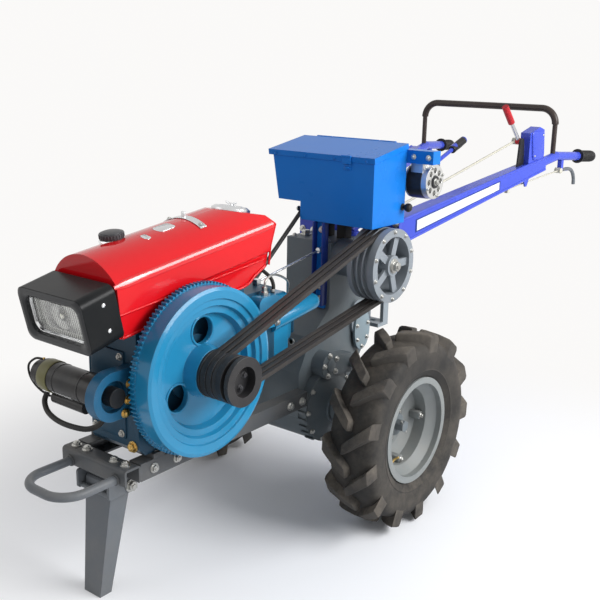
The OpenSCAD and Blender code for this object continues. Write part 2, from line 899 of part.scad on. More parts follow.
// Drive pulley bolted to the flywheel, with an open collar outside
module drive_pulley() {
    x1 = drive_end_x - collar_t * 2;
    color("#2b2b2d") difference() {
        turned_x(crank_y, crank_z) {
            difference() {
                translate([flywheel_x, 0]) square([x1 - flywheel_x, drive_r]);
                grooves(drive_r);
            }
            translate([x1, 0]) square([collar_t, drive_r - collar_t]);
            translate([drive_end_x - collar_t, 0]) square([collar_t, collar_r]);
        }
        shaft_x(x1, drive_end_x + over, crank_y, crank_z, collar_bore_r);
    }
}

// Belt round both pulleys, at a distance outside their running circles
module belt_outline(out) {
    r1 = drive_in_r + out;
    r2 = clutch_in_r + out;
    dy = clutch_y - crank_y;
    dz = clutch_z - crank_z;
    lean = atan2(dz, dy);
    wrap = asin((r2 - r1) / norm([dy, dz]));
    polygon(concat(arc_points([crank_y, crank_z], r1, lean + 90 + wrap, lean + 270 - wrap),
        arc_points([clutch_y, clutch_z], r2, lean - 90 - wrap, lean + 90 + wrap)));
}

// Points along an arc
function arc_points(centre, r, from, to) = [for (i = [0 : belt_steps])
    let (a = from + (to - from) * i / belt_steps) centre + r * [cos(a), sin(a)]];

// Drive belts
module drive_belts() {
    color("#3a3532") for (x = belt_places())
        thick_x(x - belt_w / 2, x + belt_w / 2) difference() {
            belt_outline(belt_t);
            belt_outline(0);
        }
}

// Clutch pulley: a grooved drum with a pierced face, on the gearbox's input shaft
module clutch_pulley() {
    x0 = clutch_x - clutch_w;
    drum_in = clutch_r - clutch_rim_t - groove_d;
    color("darkgray") {
        turned_x(clutch_y, clutch_z) difference() {
            translate([x0, 0]) square([clutch_w, clutch_r]);
            grooves(clutch_r);
            translate([x0 + clutch_web_t, clutch_hub_r]) square([clutch_w, drum_in - clutch_hub_r]);
        }
        translate([0, clutch_y, clutch_z]) thick_x(clutch_x - clutch_face_d, clutch_x - clutch_face_d / 2)
            intersection() {
                circle(drum_in + over);
                for (i = [0 : clutch_arms - 1])
                    rotate(360 * i / clutch_arms) translate([0, -clutch_arm_w / 2])
                        square([drum_in + over, clutch_arm_w]);
            }
        shaft_x(gear_x - clutch_shaft_in, x0 + over, clutch_y, clutch_z, clutch_shaft_r);
    }
}

// Gearbox case: final drive round the axle below, input shaft above
module gearbox() {
    boss_x = clutch_x - clutch_w - run_gap;
    color("gray") difference() {
        union() {
            thick_x(-gear_x, gear_x) {
                translate([0, axle_z]) circle(final_r);
                polygon([[rail_end_y, gear_front_low_z], [0, axle_z - final_r + over], [final_r, axle_z],
                    [gear_rear_y, hitch_low_z], [gear_rear_y, gear_top_z - gear_round],
                    [gear_rear_y - gear_round, gear_top_z], [gear_neck_y, gear_top_z],
                    [gear_neck_y, gear_shoulder_z], [rail_end_y + gear_step, gear_waist_z],
                    [rail_end_y, rail_top_z + rail_h]]);
            }
            both_sides() {
                shaft_x(gear_x - over, final_flat_x, 0, axle_z, final_r);
                shaft_taper(final_flat_x, final_side_x, 0, axle_z, final_r - rib_t, housing_r + rib_t);
                final_fins();
                thick_x(gear_x - over, lobe_x) lobe_outline();
                shaft_x(lobe_x - over, lobe_pin_x, lobe_rear[0], lobe_rear[1], lobe_pin_r);
            }
            shaft_x(gear_x - over, boss_x, clutch_y, clutch_z, clutch_boss_r);
        }
        shaft_x(gear_x - clutch_shaft_in - over, boss_x + over, clutch_y, clutch_z,
            clutch_shaft_r + seat_gap);
        both_sides() shaft_x(axle_in_x - over, final_side_x + over, 0, axle_z, axle_r + axle_run);
    }
}

// Fins on the lower front of the final-drive case
module final_fins() {
    intersection() {
        shaft_x(gear_x - over, final_flat_x, 0, axle_z, final_r + fin_out);
        for (i = [0 : fin_count - 1])
            translate([gear_x - over, -final_r - fin_out, axle_z - i * fin_pitch])
                cube([final_flat_x - gear_x + over, final_r, fin_t]);
    }
}

// Side casing over the steering clutch: two round ends joined by straight sides
module lobe_outline() {
    way = unit(lobe_rear - lobe_front);
    side = [-way[1], way[0]];
    translate(lobe_front) circle(lobe_front_r);
    translate(lobe_rear) circle(lobe_rear_r);
    polygon([lobe_front + side * lobe_rear_r, lobe_front - side * lobe_rear_r,
        lobe_rear - side * (lobe_rear_r - over), lobe_rear + side * (lobe_rear_r - over)]);
}

// A cone along X
module shaft_taper(x0, x1, y, z, r0, r1) {
    translate([x0, y, z]) rotate([0, 90, 0]) cylinder(h = x1 - x0, r1 = r0, r2 = r1);
}

// Axle housings: ribbed tubes from the gearbox to the wheels
module axle_housings() {
    color("gray") both_sides() difference() {
        union() {
            shaft_x(final_side_x, housing_end_x, 0, axle_z, housing_r);
            shaft_x(final_side_x, final_side_x + rib_t, 0, axle_z, housing_r + rib_t);
            shaft_x(housing_end_x - rib_t, housing_end_x, 0, axle_z, housing_r + rib_t);
        }
        shaft_x(final_side_x - over, housing_end_x + over, 0, axle_z, axle_r + axle_run);
    }
}

// Side cover on the gearbox's left
module side_cover() {
    color("darkgray") thick_x(gear_x, gear_x + cover_t)
        rounded([cover_y0, cover_z0], [cover_y1, cover_z1], (cover_y1 - cover_y0) / 2 - over);
}

// Hitch bracket behind the gearbox: two looped cheeks, joined by plates with the pin's bore
module hitch_bracket() {
    color("gray") difference() {
        union() {
            both_sides() thick_x(hitch_half - hitch_t, hitch_half) difference() {
                translate([gear_rear_y, hitch_low_z])
                    square([hitch_y1 - gear_rear_y, hitch_top_z - hitch_low_z]);
                translate([gear_rear_y + hitch_leg, hitch_low_z - over])
                    square([hitch_y1 - gear_rear_y - 2 * hitch_leg, hitch_top_z - hitch_low_z - hitch_leg]);
            }
            translate([-hitch_half, gear_rear_y, hitch_top_z - hitch_t])
                cube([2 * hitch_half, hitch_y1 - gear_rear_y, hitch_t]);
            translate([-hitch_half, hitch_y1 - 2 * hitch_leg, hitch_low_z])
                cube([2 * hitch_half, 2 * hitch_leg, hitch_t]);
        }
        translate([0, hitch_y1 - hitch_leg, hitch_low_z - over])
            cylinder(h = hitch_top_z - hitch_low_z + 2 * over, r = hitch_pin_r);
    }
}

// Post under the front of the toolbox, against the gearbox's neck
module box_post() {
    color("royalblue") translate([post_x - post_w / 2, gear_neck_y - post_t, gear_shoulder_z])
        cube([post_w, post_t, box_low_z - gear_shoulder_z]);
}

// Rubber mounts between the gearbox and the toolbox
module box_mounts() {
    color("#202020") for (x = mount_places) translate([x - mount_w / 2, mount_y0, gear_top_z])
        cube([mount_w, mount_y1 - mount_y0, box_low_z - gear_top_z]);
}

// Toolbox outline from the front, drawn in by a wall
module box_outline(wall) {
    top_z = box_rear_z + lip_h;
    polygon([[box_right_x + wall, top_z], [box_toe_x + wall, box_high_z + wall],
        [box_step_x + wall, box_high_z + wall], [box_step_x + wall, box_low_z + wall],
        [box_left_x - wall, box_low_z + wall], [box_left_x - wall, top_z]]);
}

// Space above the toolbox's sloping rim
module above_rim() {
    reach = box_left_x - box_right_x;
    translate([box_right_x - reach, box_front_y, box_front_z]) rotate([lid_pitch, 0, 0])
        translate([0, -reach, 0]) cube([3 * reach, 2 * reach, reach]);
}

// Toolbox: an open sheet-metal box with a step in its floor, and its share of the hinge
module toolbox() {
    color("royalblue") {
        difference() {
            thick_y(box_front_y, box_rear_y) box_outline(0);
            thick_y(box_front_y + box_t, box_rear_y - box_t) box_outline(box_t);
            above_rim();
        }
        on_rim() {
            for (x = [box_right_x + hinge_in, box_left_x - hinge_in - hinge_l]) {
                shaft_x(x, x + hinge_l, hinge_place(), 0, hinge_r);
                translate([x, lid_depth() - box_t / 2, -2 * hinge_r])
                    cube([hinge_l, box_t / 2 + hinge_r, hinge_r]);
            }
            shaft_x(box_right_x + hinge_in, box_left_x - hinge_in, hinge_place(), 0, hinge_pin_r);
        }
    }
}

// A shape on the toolbox's rim: Y back from its front wall, Z up from the rim
module on_rim() {
    translate([0, box_front_y, box_front_z]) rotate([lid_pitch, 0, 0]) children();
}

// Depth of the rim along its slope, and the hinge's place behind it
function lid_depth() = (box_rear_y - box_front_y) / cos(lid_pitch);
function hinge_place() = lid_depth() + hinge_r + seat_gap;

// Toolbox lid with a lip on three sides, hinged at the rear
module toolbox_lid() {
    x0 = box_right_x - lid_out;
    x1 = box_left_x + lid_out;
    barrel_x0 = box_right_x + hinge_in + hinge_l + lid_out;
    barrel_x1 = box_left_x - hinge_in - hinge_l - lid_out;
    lip_y = -lip_h * sin(lid_pitch) - seat_gap;
    color("dodgerblue") on_rim() difference() {
        union() {
            difference() {
                translate([x0, lip_y - lid_t, -lip_h])
                    cube([x1 - x0, lid_depth() - lip_y + lid_t, lip_h + lid_t + seat_gap]);
                translate([x0 + lid_out - seat_gap, lip_y, -lip_h - over])
                    cube([x1 - x0 - 2 * lid_out + 2 * seat_gap, lid_depth() - lip_y + over,
                        lip_h + seat_gap + over]);
            }
            shaft_x(barrel_x0, barrel_x1, hinge_place(), 0, hinge_r);
            translate([barrel_x0, lid_depth() - over, seat_gap])
                cube([barrel_x1 - barrel_x0, hinge_r, lid_t]);
        }
        shaft_x(barrel_x0 - over, barrel_x1 + over, hinge_place(), 0, hinge_pin_r + seat_gap);
    }
}

// Stay from the cylinder head up to the step in the toolbox's floor
module stay_strut() {
    x = box_step_x - strut_d / 2 - seat_gap;
    color("#1c1c1c") {
        bar([x, strut_low_y, head_top_z + strut_plate_t], [x, strut_top_y, strut_top_z], strut_d);
        translate([x - strut_plate / 2, strut_low_y - strut_plate / 2, head_top_z])
            cube([strut_plate, strut_plate, strut_plate_t + strut_d / 2]);
        thick_x(box_step_x - strut_plate_t, box_step_x)
            translate([strut_top_y, strut_top_z]) circle(strut_plate / 2);
    }
}

// Throttle rod from the engine to the post
module throttle_rod() {
    foot_y = block_rear_y - throttle_foot;
    color("silver") {
        bar([throttle_x, foot_y, block_step_z + throttle_foot / 2],
            [throttle_x, gear_neck_y - post_t - throttle_foot / 2, throttle_rear_z], throttle_d);
        translate([throttle_x, gear_neck_y - post_t - throttle_foot, throttle_rear_z])
            rotate([-90, 0, 0]) cylinder(h = throttle_foot, d = throttle_foot);
        translate([throttle_x - throttle_foot / 2, foot_y - throttle_foot / 2, block_step_z])
            cube([throttle_foot, throttle_foot, throttle_foot]);
    }
}

// Alternator with slots in its face, hung by a lug
module alternator() {
    color("silver") difference() {
        union() {
            shaft_x(alt_x0, alt_x1, alt_y, alt_z, alt_r);
            translate([(alt_x0 + alt_x1) / 2 - lug_half, lug_y0, alt_z])
                cube([2 * lug_half, lug_y1 - lug_y0, bar_z0 - alt_z]);
        }
        for (i = [0 : alt_slots - 1])
            translate([0, alt_y, alt_z]) rotate([360 * i / alt_slots, 0, 0])
                shaft_x(alt_x1 - ring_w, alt_x1 + over, 0, alt_r * alt_slot_share, alt_r / 6);
        shaft_x(alt_x1 - ring_w / 2, alt_x1 + over, alt_y, alt_z, alt_r / 3);
    }
}

// Bar behind the toolbox that carries the alternator
module alternator_bar() {
    color("royalblue") translate([bar_x0, box_rear_y, bar_z0])
        cube([bar_x1 - bar_x0, bar_d, bar_z1 - bar_z0]);
}

// Cross frame that bolts the handles to the gearbox, notched for the gear lever
module handle_frame() {
    color("royalblue") thick_y(gear_rear_y, gear_rear_y + frame_t) difference() {
        translate([-frame_half, frame_low_z]) square([2 * frame_half, frame_top_z - frame_low_z]);
        translate([shift_x - frame_notch / 2, gear_top_z])
            square([frame_notch, frame_top_z - gear_top_z + over]);
    }
}

// A shape in the left handle's own plane: Y along the handle from its foot, X across it
module on_handle() {
    translate([handle_foot_x, handle_foot_y, 0]) rotate(-handle_splay) children();
}

// Height of the handle's centre line before its bend
function handle_z(u) = handle_foot_z + u * tan(rise);

// Half the height of the beam at a place along it
function beam_half(u) = (handle_foot_h + (handle_end_h - handle_foot_h) * u / beam_u) / 2;

// The tapered beam
module handle_beam() {
    intersection() {
        thick_x(-handle_w, handle_w) polygon([[-frame_t, handle_z(-frame_t) - beam_half(-frame_t)],
            [beam_u, handle_z(beam_u) - beam_half(beam_u)], [beam_u, handle_z(beam_u) + beam_half(beam_u)],
            [-frame_t, handle_z(-frame_t) + beam_half(-frame_t)]]);
        translate([0, 0, handle_foot_z - handle_foot_h]) linear_extrude(handle_bend_z)
            polygon([[-handle_w / 2, -frame_t], [handle_w / 2, -frame_t], [handle_end_w / 2, beam_u],
                [-handle_end_w / 2, beam_u]]);
    }
}

// The tube beyond the beam, grown by a gap: it ends round at the bend, and a thinner tube goes on from there
module handle_tube(gap) {
    translate([0, bend_u, handle_bend_z]) {
        rotate([rise - 90, 0, 0]) translate([0, 0, -beam_back - tube_d])
            round_end_bar(beam_back + tube_d, tube_d / 2 + gap);
        rotate([-fall - 90, 0, 0])
            cylinder(h = bend_back / cos(fall) - grip_d / 4, d = grip_tube_d + 2 * gap);
    }
}

// One handle, on the left: a tapered beam that turns into a tube, cut square where it meets the frame
module handle() {
    color("mediumslateblue") difference() {
        on_handle() {
            handle_beam();
            handle_tube(0);
        }
        translate([0, gear_rear_y - frame_t, frame_low_z])
            cube([2 * handle_foot_x, 2 * frame_t, hoop_z - frame_low_z]);
    }
}

module handle_left() {
    handle();
}

module handle_right() {
    mirror([1, 0, 0]) handle();
}

// Grips on the ends of the tubes
module grips() {
    color("#161616") both_sides() on_handle() translate([0, handle_l, grip_z]) rotate([-fall, 0, 0])
        rotate([90, 0, 0]) difference() {
            union() {
                cylinder(h = grip_l, d = grip_d);
                translate([0, 0, grip_l - grip_flange_t]) cylinder(h = grip_flange_t, d = grip_flange_d);
            }
            translate([0, 0, grip_d / 4 - seat_gap]) cylinder(h = grip_l, d = grip_tube_d + 2 * seat_gap);
        }
}

// Hoop between the handles, standing on their tubes
module hoop() {
    color("#3d322c") difference() {
        translate([0, hoop_y, 0]) {
            both_sides() {
                bar([hoop_x, 0, handle_bend_z], [hoop_x, 0, hoop_z - hoop_bend], hoop_leg_d);
                bend_xz([hoop_x - hoop_bend, 0, hoop_z - hoop_bend], hoop_bend, hoop_d);
            }
            bar([hoop_bend - hoop_x, 0, hoop_z], [hoop_x - hoop_bend, 0, hoop_z], hoop_d);
        }
        both_sides() on_handle() handle_saddle();
    }
}

// Space that a piece leaves for the tube it sits on, up to the tube's middle
module handle_saddle() {
    handle_tube(seat_gap);
    translate([-tube_d / 2, beam_u, handle_foot_z]) cube([tube_d, handle_l - beam_u, grip_z - handle_foot_z]);
}

// Pod on the left handle beside the clutch lever
module lever_pod() {
    color("slateblue") on_handle() difference() {
        thick_x(-pod_w / 2, pod_w / 2) polygon([[pod_u0, pod_low_z], [pod_u1, pod_low_z],
            [pod_u1, handle_z(pod_u1) + handle_end_h], [pod_u1 - pod_w / 4, pod_top_z - pod_w / 4],
            [pod_u1 - pod_w, pod_top_z], [pod_u0, pod_top_z - pod_w / 2]]);
        beam_below();
    }
}

// The beam and all that is under its top
module beam_below() {
    thick_x(-handle_w, handle_w) polygon([[0, 0], [beam_u, 0], [beam_u, handle_z(beam_u) + beam_half(beam_u)],
        [0, handle_z(0) + beam_half(0)]]);
}

// Bracket ahead of the pod that carries the clutch lever's pivot
module lever_bracket() {
    color("#222222") on_handle() difference() {
        thick_x(-lever_plate_t / 2, lever_plate_t / 2) {
            translate([lever_u, lever_z]) circle(lever_hub_r);
            polygon([[lever_u - lever_hub_r, lever_z], [lever_u + lever_hub_r, lever_z],
                [pod_u0 - seat_gap, pod_low_z], [pod_u0 - lever_plate_w, pod_low_z]]);
        }
        beam_below();
        translate([-pod_w, pod_u0, 0]) cube([2 * pod_w, pod_w, pod_top_z]);
    }
}

// Clutch lever: a hub beside the bracket, a shank and a grip
module clutch_lever() {
    x = -(lever_plate_t + lever_hub_w) / 2;
    l = norm([lever_rise, lever_rise * tan(lever_lean)]);
    color("crimson") on_handle() {
        shaft_x(x - lever_hub_w / 2, x + lever_hub_w / 2, lever_u, lever_z, lever_hub_r);
        translate([x, lever_u, lever_z]) rotate([lever_lean, 0, 0]) {
            cylinder(h = l, d = lever_d);
            translate([0, 0, l * (1 - lever_grip_share)])
                cylinder(h = l * lever_grip_share, d = lever_grip_d);
        }
    }
}

// Clutch rod: an eye beside the lever's hub, down to a foot on the cross frame
module clutch_rod() {
    x = -lever_plate_t / 2 - lever_hub_w - clutch_eye / 2;
    top_x = handle_foot_x + x * cos(handle_splay) + lever_u * sin(handle_splay);
    top_y = handle_foot_y - x * sin(handle_splay) + lever_u * cos(handle_splay);
    color("beige") {
        on_handle() shaft_x(x - clutch_eye / 2, x + clutch_eye / 2, lever_u, lever_z, lever_hub_r);
        bar([clutch_foot_x, gear_rear_y + frame_t / 2, frame_top_z + clutch_foot_h / 2],
            [top_x, top_y, lever_z],
            clutch_rod_d);
        translate([clutch_foot_x - frame_t / 2, gear_rear_y, frame_top_z])
            cube([frame_t, frame_t, clutch_foot_h]);
    }
}

// Gear lever on the gearbox's top
module shift_lever() {
    foot = [shift_x, shift_foot_y, gear_top_z + shift_boss_h - over];
    way = unit(shift_end - foot);
    color("slateblue") {
        translate([shift_x, shift_foot_y, gear_top_z]) cylinder(h = shift_boss_h, r = shift_boss_r);
        bar(foot, shift_end, shift_d);
        bar(shift_end - way * shift_grip_l, shift_end, shift_grip_d);
    }
}

// Steering levers, hung under the tubes
module steering_levers() {
    low_z = handle_bend_z - steer_drop;
    color("slateblue") both_sides() on_handle() {
        difference() {
            translate([-steer_bracket_w / 2, steer_u, low_z])
                cube([steer_bracket_w, steer_bracket_w, steer_drop]);
            handle_tube(seat_gap);
            translate([-tube_d / 2, steer_u - over, handle_bend_z - tube_d / 2])
                cube([tube_d, 2 * steer_bracket_w, tube_d]);
        }
        translate([0, steer_u, low_z]) rotate([-90, 0, 0]) cylinder(h = steer_l, d = steer_d);
    }
}

// Steering rods from the levers to hooks under the beams
module steering_rods() {
    low_z = handle_bend_z - steer_drop;
    hook_z = handle_z(steer_hook_u) - beam_half(steer_hook_u) - steer_hook_h / 2;
    color("beige") both_sides() on_handle() {
        bar([0, steer_hook_u - steer_hook_w / 2, hook_z], [0, steer_u - 2 * seat_gap, low_z], steer_rod_d);
        difference() {
            translate([-steer_hook_w / 2, steer_hook_u - steer_hook_w, hook_z - steer_hook_h / 2])
                cube([steer_hook_w, steer_hook_w, 2 * steer_hook_h]);
            beam_above();
        }
    }
}

// The beam and all that is over its underside
module beam_above() {
    thick_x(-handle_w, handle_w) polygon([[0, handle_z(0) - beam_half(0)],
        [beam_u, handle_z(beam_u) - beam_half(beam_u)], [beam_u, hoop_z], [0, hoop_z]]);
}

// A wheel's pieces are drawn on the left, about the tyre's middle
module on_wheel() {
    translate([wheel_x, 0, axle_z]) children();
}

// Tyre section from the bead to the crown, on one side of the middle; its flats stay off the round rim
function tyre_side() = let (x = rim_w / 2 - rim_t - seat_gap, flat = cos(180 / tyre_steps)) concat(
    [[x, (rim_r - bead_drop) / flat], [x, (rim_r + seat_gap) / flat]],
    [for (s = tyre_section_shares) [s[1] * tyre_w / 2, rim_r + s[0] * (carcass_r - rim_r)]]);

// Tyre: a carcass with slanted lugs from each shoulder, those of one side half a step behind the other's
module tyre() {
    side = tyre_side();
    last = len(side) - 1;
    step = 360 / lug_count;
    // A corner of a lug stands on the ground
    first = lug_half_turn - lug_turn(lug_shares[len(lug_shares) - 1][0]);
    color("#2a2826") on_wheel() {
        turned_x(0, 0, tyre_steps)
            polygon(concat(side, [for (i = [0 : last]) [-side[last - i][0], side[last - i][1]]]));
        for (i = [0 : lug_count - 1]) {
            rotate([first + i * step, 0, 0]) lug();
            rotate([first + (i + 1 / 2) * step, 0, 0]) mirror([1, 0, 0]) lug();
        }
    }
}

// One lug at the top of the tyre, its outer end over the axle
module lug() {
    hull() loft([for (s = lug_shares) lug_ring(s)]);
}

// How far round the tyre a lug has come at a share of the half-width
function lug_turn(share) = atan((lug_shares[0][0] - share) * tyre_w / 2 * tan(lug_slant) / tyre_r);

// The four corners of a lug at one place along it
function lug_ring(s) = let (top = tyre_r - s[1] * lug_h, root = carcass_r - s[2] * lug_h)
    [for (c = [[top, -1], [top, 1], [root, lug_draft_share], [root, -lug_draft_share]])
        let (a = lug_turn(s[0]) + c[1] * lug_half_turn) [s[0] * tyre_w / 2, -c[0] * sin(a), c[0] * cos(a)]];

// Rim: a rolled barrel with a well, and a dished disc
module rim() {
    bead_r = rim_r - bead_drop - seat_gap;
    half = rim_w / 2;
    well_half = half * well_half_share;
    color("lightgray") on_wheel() difference() {
        union() {
            turned_x(0, 0) polygon([[-half, rim_r], [-half, bead_r - rim_t],
                [-well_half - well_drop, bead_r - rim_t], [-well_half, bead_r - well_drop - rim_t],
                [well_half, bead_r - well_drop - rim_t],
                [well_half + well_drop, bead_r - rim_t], [half, bead_r - rim_t], [half, rim_r],
                [half - rim_t, rim_r], [half - rim_t, bead_r], [well_half + well_drop, bead_r],
                [well_half, bead_r - well_drop], [-well_half, bead_r - well_drop],
                [-well_half - well_drop, bead_r], [rim_t - half, bead_r], [rim_t - half, rim_r]]);
            turned_x(0, 0) polygon([[disc_set, bead_r - well_drop - over],
                [disc_set + disc_t, bead_r - well_drop - over],
                [disc_set + disc_t - disc_cone, hub_flange_r + disc_cone],
                [disc_set + disc_t - disc_cone, hub_r + seat_gap],
                [disc_set - disc_cone, hub_r + seat_gap], [disc_set - disc_cone, hub_flange_r + disc_cone]]);
        }
        hub_bolt_holes();
    }
}

module hub_bolt_holes() {
    for (i = [0 : hub_bolts - 1])
        rotate([360 * i / hub_bolts, 0, 0])
            shaft_x(-tyre_w, tyre_w, 0, hub_flange_r * hub_bolt_share, hub_bolt_r);
}

// Hub: a sleeve and flange on the six-sided axle
module hub() {
    face = disc_set - disc_cone;
    color("gray") on_wheel() {
        shaft_x(face - hub_flange_t, face, 0, 0, hub_flange_r);
        shaft_x(housing_end_x + run_gap - wheel_x, face + disc_t + axle_end, 0, 0, hub_r);
        translate([axle_in_x - wheel_x, 0, 0]) rotate([0, 90, 0])
            cylinder(h = wheel_x - axle_in_x + face + disc_t + 2 * axle_end, r = axle_r, $fn = 6);
        for (i = [0 : hub_bolts - 1])
            rotate([360 * i / hub_bolts, 0, 0])
                shaft_x(face - over, face + 2 * disc_t, 0, hub_flange_r * hub_bolt_share,
                    hub_bolt_r - seat_gap);
    }
}

module tyre_left() {
    tyre();
}

module tyre_right() {
    mirror([1, 0, 0]) tyre();
}

module rim_left() {
    rim();
}

module rim_right() {
    mirror([1, 0, 0]) rim();
}

module hub_left() {
    hub();
}

module hub_right() {
    mirror([1, 0, 0]) hub();
}

// A round tube through points, by rings set square to the path
module tube_along(path, d, sides) {
    last = len(path) - 1;
    ways = [for (i = [0 : last]) unit(path[min(i + 1, last)] - path[max(i - 1, 0)])];
    loft([for (i = [0 : last]) let (u = unit(cross(ways[i], [0, 0, 1])), v = cross(u, ways[i]))
        [for (k = [0 : sides - 1]) path[i] + d / 2 * (u * cos(360 * k / sides) + v * sin(360 * k / sides))]]);
}

// A solid through rings of points, closed at both ends
module loft(rings) {
    last = len(rings) - 1;
    sides = len(rings[0]);
    points = [for (ring = rings) each ring];
    walls = [for (i = [0 : last - 1], k = [0 : sides - 1]) let (n = (k + 1) % sides)
        [i * sides + k, i * sides + n, (i + 1) * sides + n, (i + 1) * sides + k]];
    first_end = [[for (k = [0 : sides - 1]) sides - 1 - k]];
    far_end = [[for (k = [0 : sides - 1]) last * sides + k]];
    polyhedron(points, concat(walls, first_end, far_end));
}

function unit(v) = v / norm(v);

centred() frame_rails();
centred() front_beam();
centred() bumper_loop();
centred() stand_bracket();
centred() stand_leg();
centred() engine_block();
centred() cylinder_head();
centred() intake_pipe();
centred() injection_pump();
centred() hood();
centred() lamp_shroud();
centred() lamp_lens();
centred() filler_cap();
centred() hood_fittings();
centred() starter_motor();
centred() starter_bracket();
centred() starter_cable();
centred() flywheel();
centred() drive_pulley();
centred() drive_belts();
centred() clutch_pulley();
centred() gearbox();
centred() axle_housings();
centred() side_cover();
centred() hitch_bracket();
centred() box_post();
centred() box_mounts();
centred() toolbox();
centred() toolbox_lid();
centred() stay_strut();
centred() throttle_rod();
centred() alternator();
centred() alternator_bar();
centred() handle_frame();
centred() handle_left();
centred() handle_right();
centred() grips();
centred() hoop();
centred() lever_pod();
centred() lever_bracket();
centred() clutch_lever();
centred() clutch_rod();
centred() shift_lever();
centred() steering_levers();
centred() steering_rods();
centred() tyre_left();
centred() rim_left();
centred() hub_left();
centred() tyre_right();
centred() rim_right();
centred() hub_right();
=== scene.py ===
"""Dresses the walking tractor: a finish for every solid, and its fittings, fasteners and trim."""

import json
import logging
import math
from dataclasses import dataclass
from enum import Enum
from functools import cache
from typing import Sequence

import bmesh
import bpy
from mathutils import Matrix, Vector


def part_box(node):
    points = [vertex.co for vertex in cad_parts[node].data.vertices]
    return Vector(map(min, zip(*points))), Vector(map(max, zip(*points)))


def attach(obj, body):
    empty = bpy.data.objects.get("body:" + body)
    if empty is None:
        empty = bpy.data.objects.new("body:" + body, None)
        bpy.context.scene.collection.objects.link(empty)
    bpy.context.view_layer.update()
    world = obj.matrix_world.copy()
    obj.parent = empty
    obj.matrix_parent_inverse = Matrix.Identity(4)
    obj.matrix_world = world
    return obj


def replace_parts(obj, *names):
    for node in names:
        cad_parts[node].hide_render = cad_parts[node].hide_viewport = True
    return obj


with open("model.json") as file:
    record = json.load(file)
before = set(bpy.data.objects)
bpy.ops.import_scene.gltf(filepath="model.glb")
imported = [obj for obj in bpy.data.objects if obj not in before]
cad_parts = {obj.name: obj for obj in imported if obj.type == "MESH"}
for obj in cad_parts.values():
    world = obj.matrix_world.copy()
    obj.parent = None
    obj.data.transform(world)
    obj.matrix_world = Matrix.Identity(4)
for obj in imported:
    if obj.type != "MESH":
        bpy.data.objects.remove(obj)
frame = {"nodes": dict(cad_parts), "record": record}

LOG = logging.getLogger("tractor")
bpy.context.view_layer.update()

Point = tuple[float, float, float]
Flat = tuple[float, float]
Four = tuple[float, float, float, float]
Outline = Sequence[Flat]
Spot = tuple[Sequence[float], Sequence[float]]
Tree = bpy.types.NodeTree
Socket = bpy.types.NodeSocket

ORIGIN: Point = (0.0, 0.0, 0.0)
LEFT: Point = (1.0, 0.0, 0.0)
RIGHT: Point = (-1.0, 0.0, 0.0)
AHEAD: Point = (0.0, -1.0, 0.0)
REAR: Point = (0.0, 1.0, 0.0)
UP: Point = (0.0, 0.0, 1.0)

TINY = 1e-6
# The body that carries a piece where no other is given
CHASSIS = "chassis"
# Edges sharper than this many degrees stay sharp
SMOOTH_ANGLE = 35.0
# Heights of a bolt's head and washer, and a screw's dome and cross, as shares of the head's radius
HEAD_HEIGHT = 0.95
WASHER_HEIGHT = 0.22
SCREW_DOME: Outline = ((0.0, 1.0), (0.25, 1.0), (0.5, 0.8), (0.62, 0.45), (0.64, 0.0))
SCREW_CROSS: Flat = (0.62, 0.11)
SCREW_CROSS_HEIGHT: Flat = (0.5, 0.72)


class Axis(Enum):
    """The machine's axes: X to its left, Y to the rear, Z up."""

    X = 0
    Y = 1
    Z = 2


class Side(Enum):
    """The machine's two sides, by their direction along X."""

    LEFT = 1
    RIGHT = -1

    @property
    def label(self) -> str:
        """The side's name as it stands in the names of solids and pieces."""
        return self.name.lower()

    @property
    def out(self) -> Point:
        """The direction out of the machine on this side."""
        return (float(self.value), 0.0, 0.0)


class Surface(Enum):
    """How a finish is built up."""

    PAINT = "paint"
    CASTING = "casting"
    METAL = "metal"
    RUBBER = "rubber"
    MOULDING = "moulding"
    GLASS = "glass"


@dataclass(frozen=True)
class Finish:
    """One finish: its colour, its gloss, and how far it is worn, dusty and rough.

    Colours are linear and lengths are in metres. A finish is named after the class field that holds it, and
    takes its material slot from that name unless it gives another.
    """

    colour: Point
    surface: Surface
    roughness: float = 0.35
    mottle: float = 0.12
    grain: float = 0.1
    grain_scale: float = 60.0
    wear: float = 0.25
    worn_colour: Point = (0.32, 0.32, 0.33)
    dust: float = 0.2
    soften: float = 0.0025
    specular: float = 0.26
    slot: str = ""
    name: str = ""

    def __set_name__(self, owner: type, name: str) -> None:
        """Takes the finish's name, and its slot where it has none, from the field that holds it."""
        object.__setattr__(self, "name", name)
        object.__setattr__(self, "slot", self.slot or name)


